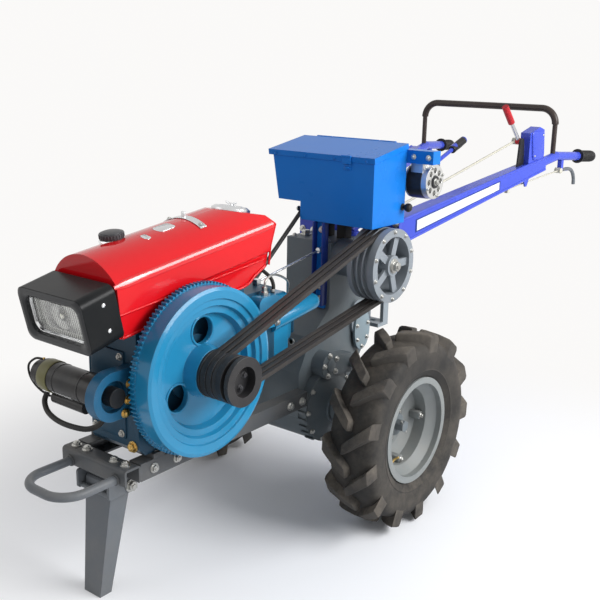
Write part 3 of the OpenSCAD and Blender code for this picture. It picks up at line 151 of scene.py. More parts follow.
class Finishes:
    """The machine's finishes, each made once as a material from the shared effects."""

    frame_grey = Finish((0.085, 0.09, 0.095), Surface.PAINT, 0.42, 0.2, 0.14, 45, 0.35, dust=0.34)
    bar_grey = Finish((0.125, 0.137, 0.15), Surface.PAINT, 0.4, 0.16, 0.1, 50, 0.3, dust=0.3)
    engine_teal = Finish((0.007, 0.056, 0.105), Surface.CASTING, 0.4, 0.25, 0.3, 70, 0.22, dust=0.2)
    engine_cyan = Finish((0.016, 0.215, 0.40), Surface.PAINT, 0.19, 0.14, 0.1, 55, 0.2, dust=0.07)
    hood_red = Finish((0.66, 0.007, 0.012), Surface.PAINT, 0.13, 0.05, 0.02, 30, 0.06, dust=0.03,
                      specular=0.14)
    shroud_black = Finish((0.009, 0.010, 0.011), Surface.MOULDING, 0.3, 0.1, 0.05, 120, 0.1, dust=0.06,
                          specular=0.14)
    lens_clear = Finish((0.92, 0.94, 0.95), Surface.GLASS, 0.06)
    cap_dark = Finish((0.05, 0.05, 0.055), Surface.PAINT, 0.35, 0.2, 0.1, 60, 0.4)
    bright_metal = Finish((0.62, 0.63, 0.64), Surface.METAL, 0.26, 0.15, 0.06, 90, 0.0, dust=0.08)
    chrome = Finish((0.78, 0.79, 0.80), Surface.METAL, 0.12, 0.06, 0.02, 90, 0.0, dust=0.04,
                    slot="bright_metal")
    starter_black = Finish((0.016, 0.016, 0.017), Surface.PAINT, 0.3, 0.2, 0.08, 60, 0.25)
    olive_band = Finish((0.16, 0.15, 0.06), Surface.PAINT, 0.38, 0.2, 0.05, 60, 0.1, slot="starter_black")
    bracket_blue = Finish((0.010, 0.10, 0.20), Surface.CASTING, 0.36, 0.2, 0.2, 70, 0.3)
    cable_black = Finish((0.012, 0.012, 0.012), Surface.RUBBER, 0.5, 0.2, 0.1, 140, 0.0, dust=0.25)
    pulley_black = Finish((0.022, 0.022, 0.024), Surface.CASTING, 0.42, 0.2, 0.12, 80, 0.35)
    belt_rubber = Finish((0.034, 0.031, 0.030), Surface.RUBBER, 0.58, 0.25, 0.25, 160, 0.0, dust=0.2)
    clutch_grey = Finish((0.22, 0.245, 0.27), Surface.CASTING, 0.42, 0.2, 0.22, 80, 0.25, dust=0.22)
    gear_grey = Finish((0.115, 0.138, 0.152), Surface.CASTING, 0.45, 0.22, 0.35, 60, 0.25, dust=0.3)
    cover_pale = Finish((0.21, 0.275, 0.31), Surface.PAINT, 0.36, 0.14, 0.12, 60, 0.2, dust=0.2,
                        slot="cover_grey")
    cover_grey = Finish((0.25, 0.29, 0.32), Surface.PAINT, 0.4, 0.16, 0.15, 60, 0.25, dust=0.25)
    box_blue = Finish((0.008, 0.16, 0.56), Surface.PAINT, 0.28, 0.1, 0.05, 25, 0.16, dust=0.06,
                      specular=0.1)
    mount_rubber = Finish((0.014, 0.014, 0.014), Surface.RUBBER, 0.65, 0.2, 0.2, 120, 0.0)
    strut_black = Finish((0.014, 0.014, 0.015), Surface.PAINT, 0.36, 0.2, 0.08, 60, 0.3)
    alternator_metal = Finish((0.60, 0.60, 0.59), Surface.METAL, 0.4, 0.3, 0.2, 90, 0.0, dust=0.2)
    handle_violet = Finish((0.045, 0.075, 0.50), Surface.PAINT, 0.26, 0.1, 0.05, 40, 0.16, dust=0.1)
    stripe_pale = Finish((0.66, 0.69, 0.78), Surface.PAINT, 0.32, 0.08, 0.03, 40, 0.12, dust=0.1,
                         slot="handle_violet")
    grip_black = Finish((0.013, 0.013, 0.014), Surface.RUBBER, 0.48, 0.2, 0.2, 150, 0.0, dust=0.1)
    hoop_brown = Finish((0.035, 0.025, 0.022), Surface.PAINT, 0.3, 0.2, 0.08, 60, 0.3)
    lever_red = Finish((0.42, 0.012, 0.02), Surface.MOULDING, 0.36, 0.1, 0.06, 120, 0.1)
    rod_cream = Finish((0.50, 0.48, 0.40), Surface.PAINT, 0.4, 0.2, 0.06, 80, 0.2)
    tyre = Finish((0.022, 0.021, 0.020), Surface.RUBBER, 0.7, 0.35, 0.3, 110, 0.0, dust=0.42)
    lug_dusty = Finish((0.040, 0.037, 0.034), Surface.RUBBER, 0.76, 0.3, 0.3, 110, 0.0, dust=0.7,
                       slot="tyre")
    rim_grey = Finish((0.19, 0.205, 0.205), Surface.PAINT, 0.4, 0.14, 0.1, 60, 0.25, dust=0.35)
    brass = Finish((0.62, 0.42, 0.14), Surface.METAL, 0.3, 0.2, 0.05, 90, 0.0, slot="bright_metal")
    zinc = Finish((0.46, 0.46, 0.44), Surface.METAL, 0.38, 0.3, 0.08, 120, 0.0, dust=0.15,
                  slot="bright_metal")
    bezel_black = Finish((0.032, 0.033, 0.035), Surface.MOULDING, 0.3, 0.1, 0.05, 120, 0.1, dust=0.08,
                         slot="shroud_black")
    reflector = Finish((0.46, 0.45, 0.42), Surface.METAL, 0.2, 0.05, 0.02, 60, 0.0, dust=0.0,
                       slot="bright_metal")
    bulb = Finish((0.75, 0.72, 0.62), Surface.METAL, 0.12, 0.05, 0.02, 60, 0.0, dust=0.0,
                  slot="bright_metal")
    crease_red = Finish((0.66, 0.007, 0.012), Surface.PAINT, 0.09, 0.05, 0.01, 30, 0.0, dust=0.0,
                        specular=0.6, slot="hood_red")
    post_blue = Finish((0.010, 0.03, 0.19), Surface.PAINT, 0.3, 0.12, 0.06, 40, 0.2, dust=0.12,
                       slot="box_blue")

    @staticmethod
    @cache
    def material(finish: Finish) -> bpy.types.Material:
        """The finish's material, made at its first use."""
        return MaterialMaker(finish).make()


def product(tree: Tree, one: Socket, two: Socket | float) -> Socket:
    """Multiplies a socket by another, or by a number.

    Args:
        tree: the node tree.
        one: the first socket.
        two: the second socket, or a number.

    Returns:
        The product's socket.
    """
    node = tree.nodes.new("ShaderNodeMath")
    node.operation = "MULTIPLY"
    tree.links.new(one, node.inputs[0])
    if isinstance(two, float):
        node.inputs[1].default_value = two
    else:
        tree.links.new(two, node.inputs[1])
    return node.outputs["Value"]


def remapped(tree: Tree, value: Socket, span: Flat, result: Flat = (0.0, 1.0), smooth: bool = False) -> Socket:
    """Carries a value from one range to another, and holds it there.

    Args:
        tree: the node tree.
        value: the value's socket.
        span: the two ends of the value's range.
        result: what those two ends become.
        smooth: whether the change eases in and out.

    Returns:
        The result's socket.
    """
    node = tree.nodes.new("ShaderNodeMapRange")
    node.interpolation_type = "SMOOTHSTEP" if smooth else "LINEAR"
    for label, number in zip(("From Min", "From Max", "To Min", "To Max"), (*span, *result)):
        node.inputs[label].default_value = number
    tree.links.new(value, node.inputs["Value"])
    return node.outputs["Result"]


class Effects:
    """Shader node groups that several finishes share."""

    @staticmethod
    def _group(name: str, inputs: dict[str, float], outputs: dict[str, str]) -> Tree:
        """An empty shader group with its sockets.

        Args:
            name: the group's name.
            inputs: number sockets and their defaults.
            outputs: output sockets and their types.

        Returns:
            The group.
        """
        tree = bpy.data.node_groups.new(name, "ShaderNodeTree")
        for label, value in inputs.items():
            socket = tree.interface.new_socket(label, in_out="INPUT", socket_type="NodeSocketFloat")
            socket.default_value = value
        for label, kind in outputs.items():
            tree.interface.new_socket(label, in_out="OUTPUT", socket_type=kind)
        tree.nodes.new("NodeGroupInput").name = "in"
        tree.nodes.new("NodeGroupOutput").name = "out"
        return tree

    @staticmethod
    def _noise(tree: Tree, scale: str, detail: float, roughness: float) -> Socket:
        """Noise that is fixed to the object.

        Args:
            tree: the group.
            scale: the group's input that sets the noise's scale.
            detail: its octaves.
            roughness: how strong the finer octaves are.

        Returns:
            The noise's socket.
        """
        place = tree.nodes.new("ShaderNodeTexCoord")
        noise = tree.nodes.new("ShaderNodeTexNoise")
        noise.inputs["Detail"].default_value = detail
        noise.inputs["Roughness"].default_value = roughness
        tree.links.new(place.outputs["Object"], noise.inputs["Vector"])
        tree.links.new(tree.nodes["in"].outputs[scale], noise.inputs["Scale"])
        return noise.outputs["Fac"]

    @staticmethod
    def _upward(tree: Tree, kind: str, output: str) -> Socket:
        """The upward part of a vector that a node puts out.

        Args:
            tree: the group.
            kind: the node's type.
            output: the vector's socket on it.

        Returns:
            The socket of the vector's Z.
        """
        source = tree.nodes.new(kind)
        parts = tree.nodes.new("ShaderNodeSeparateXYZ")
        tree.links.new(source.outputs[output], parts.inputs["Vector"])
        return parts.outputs["Z"]

    @classmethod
    @cache
    def edge_wear(cls) -> Tree:
        """A normal that rounds sharp edges, and a mask of the worn paint along them.

        Returns:
            The group.
        """
        outputs = {"Normal": "NodeSocketVector", "Mask": "NodeSocketFloat"}
        tree = cls._group("edge_wear", {"Radius": 0.002, "Amount": 0.2, "Patch Scale": 18.0}, outputs)
        nodes, links = tree.nodes, tree.links
        bevel = nodes.new("ShaderNodeBevel")
        bevel.samples = 4
        links.new(nodes["in"].outputs["Radius"], bevel.inputs["Radius"])
        links.new(bevel.outputs["Normal"], nodes["out"].inputs["Normal"])
        face = nodes.new("ShaderNodeNewGeometry")
        likeness = nodes.new("ShaderNodeVectorMath")
        likeness.operation = "DOT_PRODUCT"
        links.new(bevel.outputs["Normal"], likeness.inputs[0])
        links.new(face.outputs["Normal"], likeness.inputs[1])
        edge = remapped(tree, likeness.outputs["Value"], (0.995, 0.80), smooth=True)
        patches = remapped(tree, cls._noise(tree, "Patch Scale", 5.0, 0.65), (0.46, 0.60))
        worn = product(tree, product(tree, edge, patches), nodes["in"].outputs["Amount"])
        links.new(worn, nodes["out"].inputs["Mask"])
        return tree

    @classmethod
    @cache
    def dust(cls) -> Tree:
        """A mask of dust: thicker on faces that look up and near the ground, broken up by noise.

        Returns:
            The group.
        """
        tree = cls._group("dust", {"Amount": 0.2, "Scale": 9.0}, {"Mask": "NodeSocketFloat"})
        mask = remapped(tree, cls._noise(tree, "Scale", 6.0, 0.7), (0.38, 0.72))
        facing = remapped(tree, cls._upward(tree, "ShaderNodeNewGeometry", "Normal"), (-0.6, 1.0), (0.15, 1.0))
        nearness = remapped(tree, cls._upward(tree, "ShaderNodeTexCoord", "Object"), (0.0, 0.9), (1.0, 0.3))
        for share in (facing, nearness, tree.nodes["in"].outputs["Amount"]):
            mask = product(tree, mask, share)
        tree.links.new(mask, tree.nodes["out"].inputs["Mask"])
        return tree

    @classmethod
    @cache
    def grain(cls) -> Tree:
        """Height for a bump and a slow drift of tone, both from noise.

        Returns:
            The group.
        """
        outputs = {"Height": "NodeSocketFloat", "Tone": "NodeSocketFloat"}
        tree = cls._group("grain", {"Scale": 60.0, "Drift Scale": 5.0}, outputs)
        for scale, output, detail in (("Scale", "Height", 6.0), ("Drift Scale", "Tone", 4.0)):
            tree.links.new(cls._noise(tree, scale, detail, 0.6), tree.nodes["out"].inputs[output])
        return tree


class MaterialMaker:
    """Builds one finish's material from the shared effects."""

    dust_colour = (0.36, 0.31, 0.25, 1.0)
    dust_roughness = 0.5
    drift_scale = 4.0
    casting_relief = 0.0015
    fine_relief = 0.0008
    # Paint and mouldings smoother than this have a clear coat, which grows as they get smoother
    coat_limit = 0.3
    coat_gain = 1.8
    coat_roughness = 0.08
    glass_ripple = 0.04
    glass_relief = 0.001
    glass_index = 1.45

    def __init__(self, finish: Finish) -> None:
        """Starts an empty material.

        Args:
            finish: the finish to build.
        """
        self.finish = finish
        self.material = bpy.data.materials.new(finish.name)
        self.material.use_nodes = True
        self.tree = self.material.node_tree
        self.shader = self.tree.nodes["Principled BSDF"]

    def make(self) -> bpy.types.Material:
        """Builds the material by its surface.

        Returns:
            The material.
        """
        if self.finish.surface is Surface.GLASS:
            self._glass()
        else:
            self._solid()
        self.material.diffuse_color = (*self.finish.colour, 1.0)
        return self.material

    def _effect(self, tree: Tree, **values: float) -> bpy.types.Node:
        """Places a shared effect with its own values.

        Args:
            tree: the effect's group.
            values: input names, with underscores for spaces, and numbers.

        Returns:
            The group node.
        """
        node = self.tree.nodes.new("ShaderNodeGroup")
        node.node_tree = tree
        for label, value in values.items():
            node.inputs[label.replace("_", " ")].default_value = value
        return node

    def _blend(self, factor: Socket, low: Socket | Sequence[float], high: Sequence[float]) -> Socket:
        """Mixes two colours.

        Args:
            factor: the mask.
            low: colour or socket where the mask is zero.
            high: colour where the mask is one.

        Returns:
            The mixed colour's socket.
        """
        mix = self.tree.nodes.new("ShaderNodeMix")
        mix.data_type = "RGBA"
        self.tree.links.new(factor, mix.inputs["Factor"])
        first, second = (s for s in mix.inputs if s.type == "RGBA")
        second.default_value = high
        if isinstance(low, Socket):
            self.tree.links.new(low, first)
        else:
            first.default_value = low
        return next(s for s in mix.outputs if s.type == "RGBA")

    def _bump(self, height: Socket, strength: float, distance: float) -> bpy.types.Node:
        """A bump that feeds the shader's normal.

        Args:
            height: the height's socket.
            strength: the bump's strength.
            distance: its depth.

        Returns:
            The bump node.
        """
        bump = self.tree.nodes.new("ShaderNodeBump")
        bump.inputs["Strength"].default_value = strength
        bump.inputs["Distance"].default_value = distance
        self.tree.links.new(height, bump.inputs["Height"])
        self.tree.links.new(bump.outputs["Normal"], self.shader.inputs["Normal"])
        return bump

    def _solid(self) -> None:
        """Paint, casting, bare metal, rubber or moulding."""
        f = self.finish
        links, inputs = self.tree.links, self.shader.inputs
        grain = self._effect(Effects.grain(), Scale=f.grain_scale, Drift_Scale=self.drift_scale)
        edges = self._effect(Effects.edge_wear(), Radius=f.soften, Amount=f.wear)
        dust = self._effect(Effects.dust(), Amount=f.dust)
        dark = tuple(c * (1 - f.mottle) for c in f.colour) + (1.0,)
        light = tuple(min(1.0, c * (1 + f.mottle)) for c in f.colour) + (1.0,)
        colour = self._blend(grain.outputs["Tone"], dark, light)
        if f.wear > 0:
            colour = self._blend(edges.outputs["Mask"], colour, (*f.worn_colour, 1.0))
        colour = self._blend(dust.outputs["Mask"], colour, self.dust_colour)
        links.new(colour, inputs["Base Color"])
        rough = self.tree.nodes.new("ShaderNodeMath")
        rough.operation = "MULTIPLY_ADD"
        rough.use_clamp = True
        rough.inputs[1].default_value = self.dust_roughness
        links.new(dust.outputs["Mask"], rough.inputs[0])
        bare = remapped(self.tree, grain.outputs["Tone"], (0.0, 1.0), (f.roughness * 0.8, f.roughness * 1.2))
        links.new(bare, rough.inputs[2])
        links.new(rough.outputs["Value"], inputs["Roughness"])
        relief = self.casting_relief if f.surface is Surface.CASTING else self.fine_relief
        bump = self._bump(grain.outputs["Height"], f.grain, relief)
        links.new(edges.outputs["Normal"], bump.inputs["Normal"])
        if f.surface is Surface.METAL:
            inputs["Metallic"].default_value = 1.0
        else:
            inputs["Specular IOR Level"].default_value = f.specular
        if f.surface in (Surface.PAINT, Surface.MOULDING) and f.roughness < self.coat_limit:
            inputs["Coat Weight"].default_value = self.coat_gain * (self.coat_limit - f.roughness)
            inputs["Coat Roughness"].default_value = self.coat_roughness

    def _glass(self) -> None:
        """Clear glass with a slight ripple."""
        inputs = self.shader.inputs
        grain = self._effect(Effects.grain(), Scale=40.0, Drift_Scale=6.0)
        self._bump(grain.outputs["Height"], self.glass_ripple, self.glass_relief)
        inputs["Base Color"].default_value = (*self.finish.colour, 1.0)
        inputs["Roughness"].default_value = self.finish.roughness
        inputs["Transmission Weight"].default_value = 1.0
        inputs["IOR"].default_value = self.glass_index


@dataclass(frozen=True)
class NodeBox:
    """A solid's box at rest, in metres."""

    low: Vector
    high: Vector

    @classmethod
    def of(cls, node: str) -> "NodeBox":
        """The box of a solid by its name."""
        return cls(*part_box(node))

    @property
    def mid(self) -> Vector:
        """The box's middle."""
        return (self.low + self.high) / 2

    @property
    def size(self) -> Vector:
        """The box's lengths along the three axes."""
        return self.high - self.low

    def at(self, x: float, y: float, z: float) -> Vector:
        """A point in the box by shares of its three lengths."""
        return Vector(self.low[i] + self.size[i] * s for i, s in enumerate((x, y, z)))


class Shape:
    """A mesh under construction, drawn at its place in the machine, in metres."""

    def __init__(self) -> None:
        """Starts an empty mesh."""
        self.bm = bmesh.new()

    def block(self, low: Sequence[float], high: Sequence[float], edge: float = 0.0) -> "Shape":
        """A box between two corners, with rounded edges.

        Args:
            low: its lowest corner.
            high: its highest corner.
            edge: radius of the edges.

        Returns:
            The shape itself.
        """
        verts = bmesh.ops.create_cube(self.bm, size=1.0)["verts"]
        for v in verts:
            v.co = Vector(low[i] + (v.co[i] + 0.5) * (high[i] - low[i]) for i in range(3))
        if edge > 0:
            edges = list({e for v in verts for e in v.link_edges})
            bmesh.ops.bevel(self.bm, geom=edges, offset=edge, segments=2, profile=0.5, affect="EDGES")
        return self

    def lathe(self, centre: Sequence[float], axis: Axis, outline: Outline, steps: int = 48) -> "Shape":
        """Turns an outline about an axis.

        Args:
            centre: a point on the axis.
            axis: the axis.
            outline: pairs of distance along the axis and radius; an end off the axis is closed.
            steps: faces around.

        Returns:
            The shape itself.
        """
        rings = []
        band = list(outline)
        hollow = min(radius for _, radius in (band[0], band[-1])) > TINY
        if hollow and band[0] == band[-1]:
            band.pop()
        for along, radius in band:
            if radius < TINY:
                rings.append([self.bm.verts.new(self._about(centre, axis, along, 0.0, 0.0))])
                continue
            turn = [2 * math.pi * i / steps for i in range(steps)]
            rings.append([self.bm.verts.new(self._about(centre, axis, along, radius, a)) for a in turn])
        if not hollow:
            for ring in (rings[0], rings[-1]):
                if len(ring) > 1:
                    self.bm.faces.new(ring)
        following = [*rings[1:], rings[0]] if hollow else rings[1:]
        for one, two in zip(rings, following):
            for i in range(steps):
                n = (i + 1) % steps
                corners = [one[i % len(one)], one[n % len(one)], two[n % len(two)], two[i % len(two)]]
                corners = [c for k, c in enumerate(corners) if c not in corners[:k]]
                if len(corners) > 2:
                    self.bm.faces.new(corners)
        return self

    @staticmethod
    def _about(centre: Sequence[float], axis: Axis, along: float, radius: float, angle: float) -> Vector:
        """A point round an axis.

        Args:
            centre: a point on the axis.
            axis: the axis.
            along: distance along the axis from that point.
            radius: distance from the axis.
            angle: angle round the axis.

        Returns:
            The point.
        """
        point = Vector(centre)
        point[axis.value] += along
        point[(axis.value + 1) % 3] += radius * math.cos(angle)
        point[(axis.value + 2) % 3] += radius * math.sin(angle)
        return point

    def prism(self, outline: Outline, axis: Axis, start: float, end: float, edge: float = 0.0) -> "Shape":
        """An outline made thick along an axis.

        Args:
            outline: pairs of places on the other two axes, in the order Y Z, Z X or X Y.
            axis: the axis that it is thick along.
            start: where it starts on the axis.
            end: where it ends.
            edge: radius of its edges.

        Returns:
            The shape itself.
        """
        layers = []
        for along in (start, end):
            layer = []
            for a, b in outline:
                point = Vector()
                point[axis.value] = along
                point[(axis.value + 1) % 3] = a
                point[(axis.value + 2) % 3] = b
                layer.append(self.bm.verts.new(point))
            layers.append(layer)
        count = len(outline)
        faces = [self.bm.faces.new(layers[0]), self.bm.faces.new(layers[1])]
        for i in range(count):
            n = (i + 1) % count
            faces.append(self.bm.faces.new((layers[0][i], layers[0][n], layers[1][n], layers[1][i])))
        if edge > 0:
            edges = list({e for f in faces for e in f.edges})
            bmesh.ops.bevel(self.bm, geom=edges, offset=edge, segments=2, profile=0.5, affect="EDGES")
        return self

    def tube(self, path: Sequence[Sequence[float]], radius: float, sides: int = 12, smooth: int = 6) -> "Shape":
        """A round tube along a smooth curve through points.

        Args:
            path: the points.
            radius: the tube's radius.
            sides: faces around.
            smooth: steps between two points, or 1 for straight lengths.

        Returns:
            The shape itself.
        """
        line = smooth_line([Vector(p) for p in path], smooth)
        rings = []
        side = None
        for i, point in enumerate(line):
            way = (line[min(i + 1, len(line) - 1)] - line[max(i - 1, 0)]).normalized()
            if side is None:
                side = way.orthogonal().normalized()
            side = (side - way * side.dot(way)).normalized()
            other = way.cross(side)
            turn = [2 * math.pi * k / sides for k in range(sides)]
            ring = [point + radius * (side * math.cos(a) + other * math.sin(a)) for a in turn]
            rings.append(ring)
        return self.loft(rings)

    def loft(self, rings: Sequence[Sequence[Sequence[float]]], closed: bool = False) -> "Shape":
        """A skin through rings of points.

        Args:
            rings: the rings, each with as many points.
            closed: whether the last ring joins the first; if not, both ends are filled.

        Returns:
            The shape itself.
        """
        layers = [[self.bm.verts.new(Vector(p)) for p in ring] for ring in rings]
        pairs = list(zip(layers, layers[1:]))
        if closed:
            pairs.append((layers[-1], layers[0]))
        else:
            self.bm.faces.new(layers[0])
            self.bm.faces.new(layers[-1])
        count = len(layers[0])
        for one, two in pairs:
            for k in range(count):
                n = (k + 1) % count
                self.bm.faces.new((one[k], one[n], two[n], two[k]))
        return self

    def to(self, place: Matrix) -> "Shape":
        """Carries everything drawn so far to a place."""
        bmesh.ops.transform(self.bm, matrix=place, verts=self.bm.verts[:])
        return self

    def join(self, other: "Shape") -> "Shape":
        """Takes in another shape.

        Args:
            other: the shape to take in, which is used up.

        Returns:
            The shape itself.
        """
        mesh = bpy.data.meshes.new("joined")
        other.bm.to_mesh(mesh)
        other.bm.free()
        self.bm.from_mesh(mesh)
        bpy.data.meshes.remove(mesh)
        return self

    def mesh(self, name: str, smooth_angle: float = SMOOTH_ANGLE) -> bpy.types.Mesh:
        """Closes the mesh, turns its faces outwards and shades it.

        Args:
            name: the mesh's name.
            smooth_angle: edges sharper than this many degrees stay sharp.

        Returns:
            The mesh.
        """
        bmesh.ops.remove_doubles(self.bm, verts=self.bm.verts[:], dist=TINY)
        bmesh.ops.recalc_face_normals(self.bm, faces=self.bm.faces[:])
        mesh = bpy.data.meshes.new(name)
        self.bm.to_mesh(mesh)
        self.bm.free()
        shade(mesh, smooth_angle)
        return mesh

    def piece(self, name: str, finish: Finish, body: str = CHASSIS,
              smooth_angle: float = SMOOTH_ANGLE) -> bpy.types.Object:
        """Finishes the mesh as a piece that rides on a body.

        Args:
            name: the piece's name.
            finish: its finish.
            body: the body that carries it.
            smooth_angle: edges sharper than this many degrees stay sharp.

        Returns:
            The piece.
        """
        return piece_from(self.mesh(name, smooth_angle), finish, body)


def shade(mesh: bpy.types.Mesh, angle: float) -> None:
    """Shades a mesh smooth, with sharp edges past an angle in degrees."""
    mesh.polygons.foreach_set("use_smooth", [True] * len(mesh.polygons))
    mesh.set_sharp_from_angle(angle=math.radians(angle))


def piece_from(mesh: bpy.types.Mesh, finish: Finish, body: str) -> bpy.types.Object:
    """Makes a mesh a piece of the machine.

    Args:
        mesh: the mesh, which gives the piece its name.
        finish: its finish.
        body: the body that carries it.

    Returns:
        The piece.
    """
    mesh.materials.clear()
    mesh.materials.append(Finishes.material(finish))
    piece = bpy.data.objects.new(mesh.name, mesh)
    bpy.context.scene.collection.objects.link(piece)
    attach(piece, body)
    LOG.info("%s: %d faces", piece.name, len(mesh.polygons))
    return piece


def smooth_line(points: list[Vector], steps: int) -> list[Vector]:
    """Points along a smooth curve through the given ones.

    Args:
        points: the points it passes through.
        steps: steps between two of them.

    Returns:
        The points of the curve.
    """
    if steps < 2 or len(points) < 3:
        return points
    ends = [points[0] * 2 - points[1], *points, points[-1] * 2 - points[-2]]
    line = []
    for a, b, c, d in zip(ends, ends[1:], ends[2:], ends[3:]):
        for i in range(steps):
            t = i / steps
            line.append(0.5 * (
                b * 2 + (c - a) * t + (a * 2 - b * 5 + c * 4 - d) * t ** 2
                + (b * 3 - a - c * 3 + d) * t ** 3
            ))
    line.append(points[-1])
    return line


class Trees:
    """Geometry Nodes trees for what repeats."""

    # A bolt's head, washer and tip: sides, share of its radius, the input that sets its height, and share of
    # that height that its middle is raised by
    bolt_parts = ((6, 1.0, "Height", 0.5), (20, 1.35, "Washer", 0.5), (12, 0.52, "Height", 0.8))

    @staticmethod
    def _tree(name: str, sockets: dict[str, str]) -> Tree:
        """An empty tree with a mesh in, a mesh out and named inputs.

        Args:
            name: the tree's name.
            sockets: the other inputs and their types.

        Returns:
            The tree.
        """
        tree = bpy.data.node_groups.new(name, "GeometryNodeTree")
        tree.interface.new_socket("Geometry", in_out="OUTPUT", socket_type="NodeSocketGeometry")
        tree.interface.new_socket("Geometry", in_out="INPUT", socket_type="NodeSocketGeometry")
        for label, kind in sockets.items():
            tree.interface.new_socket(label, in_out="INPUT", socket_type=kind)
        tree.interface.new_socket("Material", in_out="INPUT", socket_type="NodeSocketMaterial")
        tree.nodes.new("NodeGroupInput").name = "in"
        tree.nodes.new("NodeGroupOutput").name = "out"
        return tree

    @staticmethod
    def _end(tree: Tree, instances: Socket) -> Tree:
        """Realizes the copies and sets their material.

        Args:
            tree: the tree.
            instances: the copies' socket.

        Returns:
            The tree, which is now whole.
        """
        real = tree.nodes.new("GeometryNodeRealizeInstances")
        paint = tree.nodes.new("GeometryNodeSetMaterial")
        tree.links.new(instances, real.inputs["Geometry"])
        tree.links.new(real.outputs["Geometry"], paint.inputs["Geometry"])
        tree.links.new(tree.nodes["in"].outputs["Material"], paint.inputs["Material"])
        tree.links.new(paint.outputs["Geometry"], tree.nodes["out"].inputs["Geometry"])
        return tree

    @staticmethod
    def _on_points(tree: Tree, shape: Socket) -> Socket:
        """Sets a shape on every point, its Z along the point's own direction.

        Args:
            tree: the tree.
            shape: the shape's socket.

        Returns:
            The copies' socket.
        """
        nodes, links = tree.nodes, tree.links
        way = nodes.new("GeometryNodeInputNamedAttribute")
        way.data_type = "FLOAT_VECTOR"
        way.inputs["Name"].default_value = "way"
        align = nodes.new("FunctionNodeAlignRotationToVector")
        align.axis = "Z"
        links.new(way.outputs["Attribute"], align.inputs["Vector"])
        copies = nodes.new("GeometryNodeInstanceOnPoints")
        links.new(nodes["in"].outputs["Geometry"], copies.inputs["Points"])
        links.new(shape, copies.inputs["Instance"])
        links.new(align.outputs["Rotation"], copies.inputs["Rotation"])
        return copies.outputs["Instances"]

    @classmethod
    @cache
    def ring(cls) -> Tree:
        """Copies of a shape, spaced evenly about an axis through a centre.

        Returns:
            The tree.
        """
        sockets = {"Count": "NodeSocketInt", "Centre": "NodeSocketVector", "Axis": "NodeSocketVector"}
        tree = cls._tree("ring_of_copies", sockets)
        nodes, links = tree.nodes, tree.links
        points = nodes.new("GeometryNodePoints")
        links.new(nodes["in"].outputs["Count"], points.inputs["Count"])
        copies = nodes.new("GeometryNodeInstanceOnPoints")
        links.new(points.outputs["Points"], copies.inputs["Points"])
        links.new(nodes["in"].outputs["Geometry"], copies.inputs["Instance"])
        index = nodes.new("GeometryNodeInputIndex")
        share = nodes.new("ShaderNodeMath")
        share.operation = "DIVIDE"
        links.new(index.outputs["Index"], share.inputs[0])
        links.new(nodes["in"].outputs["Count"], share.inputs[1])
        turn = nodes.new("FunctionNodeAxisAngleToRotation")
        links.new(nodes["in"].outputs["Axis"], turn.inputs["Axis"])
        links.new(product(tree, share.outputs["Value"], 2 * math.pi), turn.inputs["Angle"])
        rotate = nodes.new("GeometryNodeRotateInstances")
        rotate.inputs["Local Space"].default_value = False
        links.new(copies.outputs["Instances"], rotate.inputs["Instances"])
        links.new(turn.outputs["Rotation"], rotate.inputs["Rotation"])
        links.new(nodes["in"].outputs["Centre"], rotate.inputs["Pivot Point"])
        return cls._end(tree, rotate.outputs["Instances"])

    @classmethod
    @cache
    def row(cls) -> Tree:
        """Copies of a shape, each a step on from the one before.

        Returns:
            The tree.
        """
        tree = cls._tree("row_of_copies", {"Count": "NodeSocketInt", "Step": "NodeSocketVector"})
        nodes, links = tree.nodes, tree.links
        index = nodes.new("GeometryNodeInputIndex")
        place = nodes.new("ShaderNodeVectorMath")
        place.operation = "SCALE"
        links.new(nodes["in"].outputs["Step"], place.inputs[0])
        links.new(index.outputs["Index"], place.inputs["Scale"])
        points = nodes.new("GeometryNodePoints")
        links.new(nodes["in"].outputs["Count"], points.inputs["Count"])
        links.new(place.outputs["Vector"], points.inputs["Position"])
        copies = nodes.new("GeometryNodeInstanceOnPoints")
        links.new(points.outputs["Points"], copies.inputs["Points"])
        links.new(nodes["in"].outputs["Geometry"], copies.inputs["Instance"])
        return cls._end(tree, copies.outputs["Instances"])

    @classmethod
    @cache
    def bolts(cls) -> Tree:
        """A hexagon head on a washer at every point, pointing along the point's own direction.

        Returns:
            The tree.
        """
        sockets = dict.fromkeys(("Radius", "Height", "Washer"), "NodeSocketFloat")
        tree = cls._tree("bolts_on_points", sockets)
        nodes, links = tree.nodes, tree.links
        parts = nodes.new("GeometryNodeJoinGeometry")
        for sides, wide, height, rise in cls.bolt_parts:
            layer = nodes.new("GeometryNodeMeshCylinder")
            layer.inputs["Vertices"].default_value = sides
            links.new(product(tree, nodes["in"].outputs["Radius"], wide), layer.inputs["Radius"])
            links.new(nodes["in"].outputs[height], layer.inputs["Depth"])
            up = nodes.new("ShaderNodeCombineXYZ")
            links.new(product(tree, nodes["in"].outputs[height], rise), up.inputs["Z"])
            move = nodes.new("GeometryNodeTransform")
            links.new(layer.outputs["Mesh"], move.inputs["Geometry"])
            links.new(up.outputs["Vector"], move.inputs["Translation"])
            links.new(move.outputs["Geometry"], parts.inputs["Geometry"])
        return cls._end(tree, cls._on_points(tree, parts.outputs["Geometry"]))

    @classmethod
    @cache
    def heads(cls) -> Tree:
        """A drawn head at every point, pointing along the point's own direction.

        Returns:
            The tree.
        """
        tree = cls._tree("heads_on_points", {"Head": "NodeSocketObject"})
        head = tree.nodes.new("GeometryNodeObjectInfo")
        tree.links.new(tree.nodes["in"].outputs["Head"], head.inputs["Object"])
        return cls._end(tree, cls._on_points(tree, head.outputs["Geometry"]))

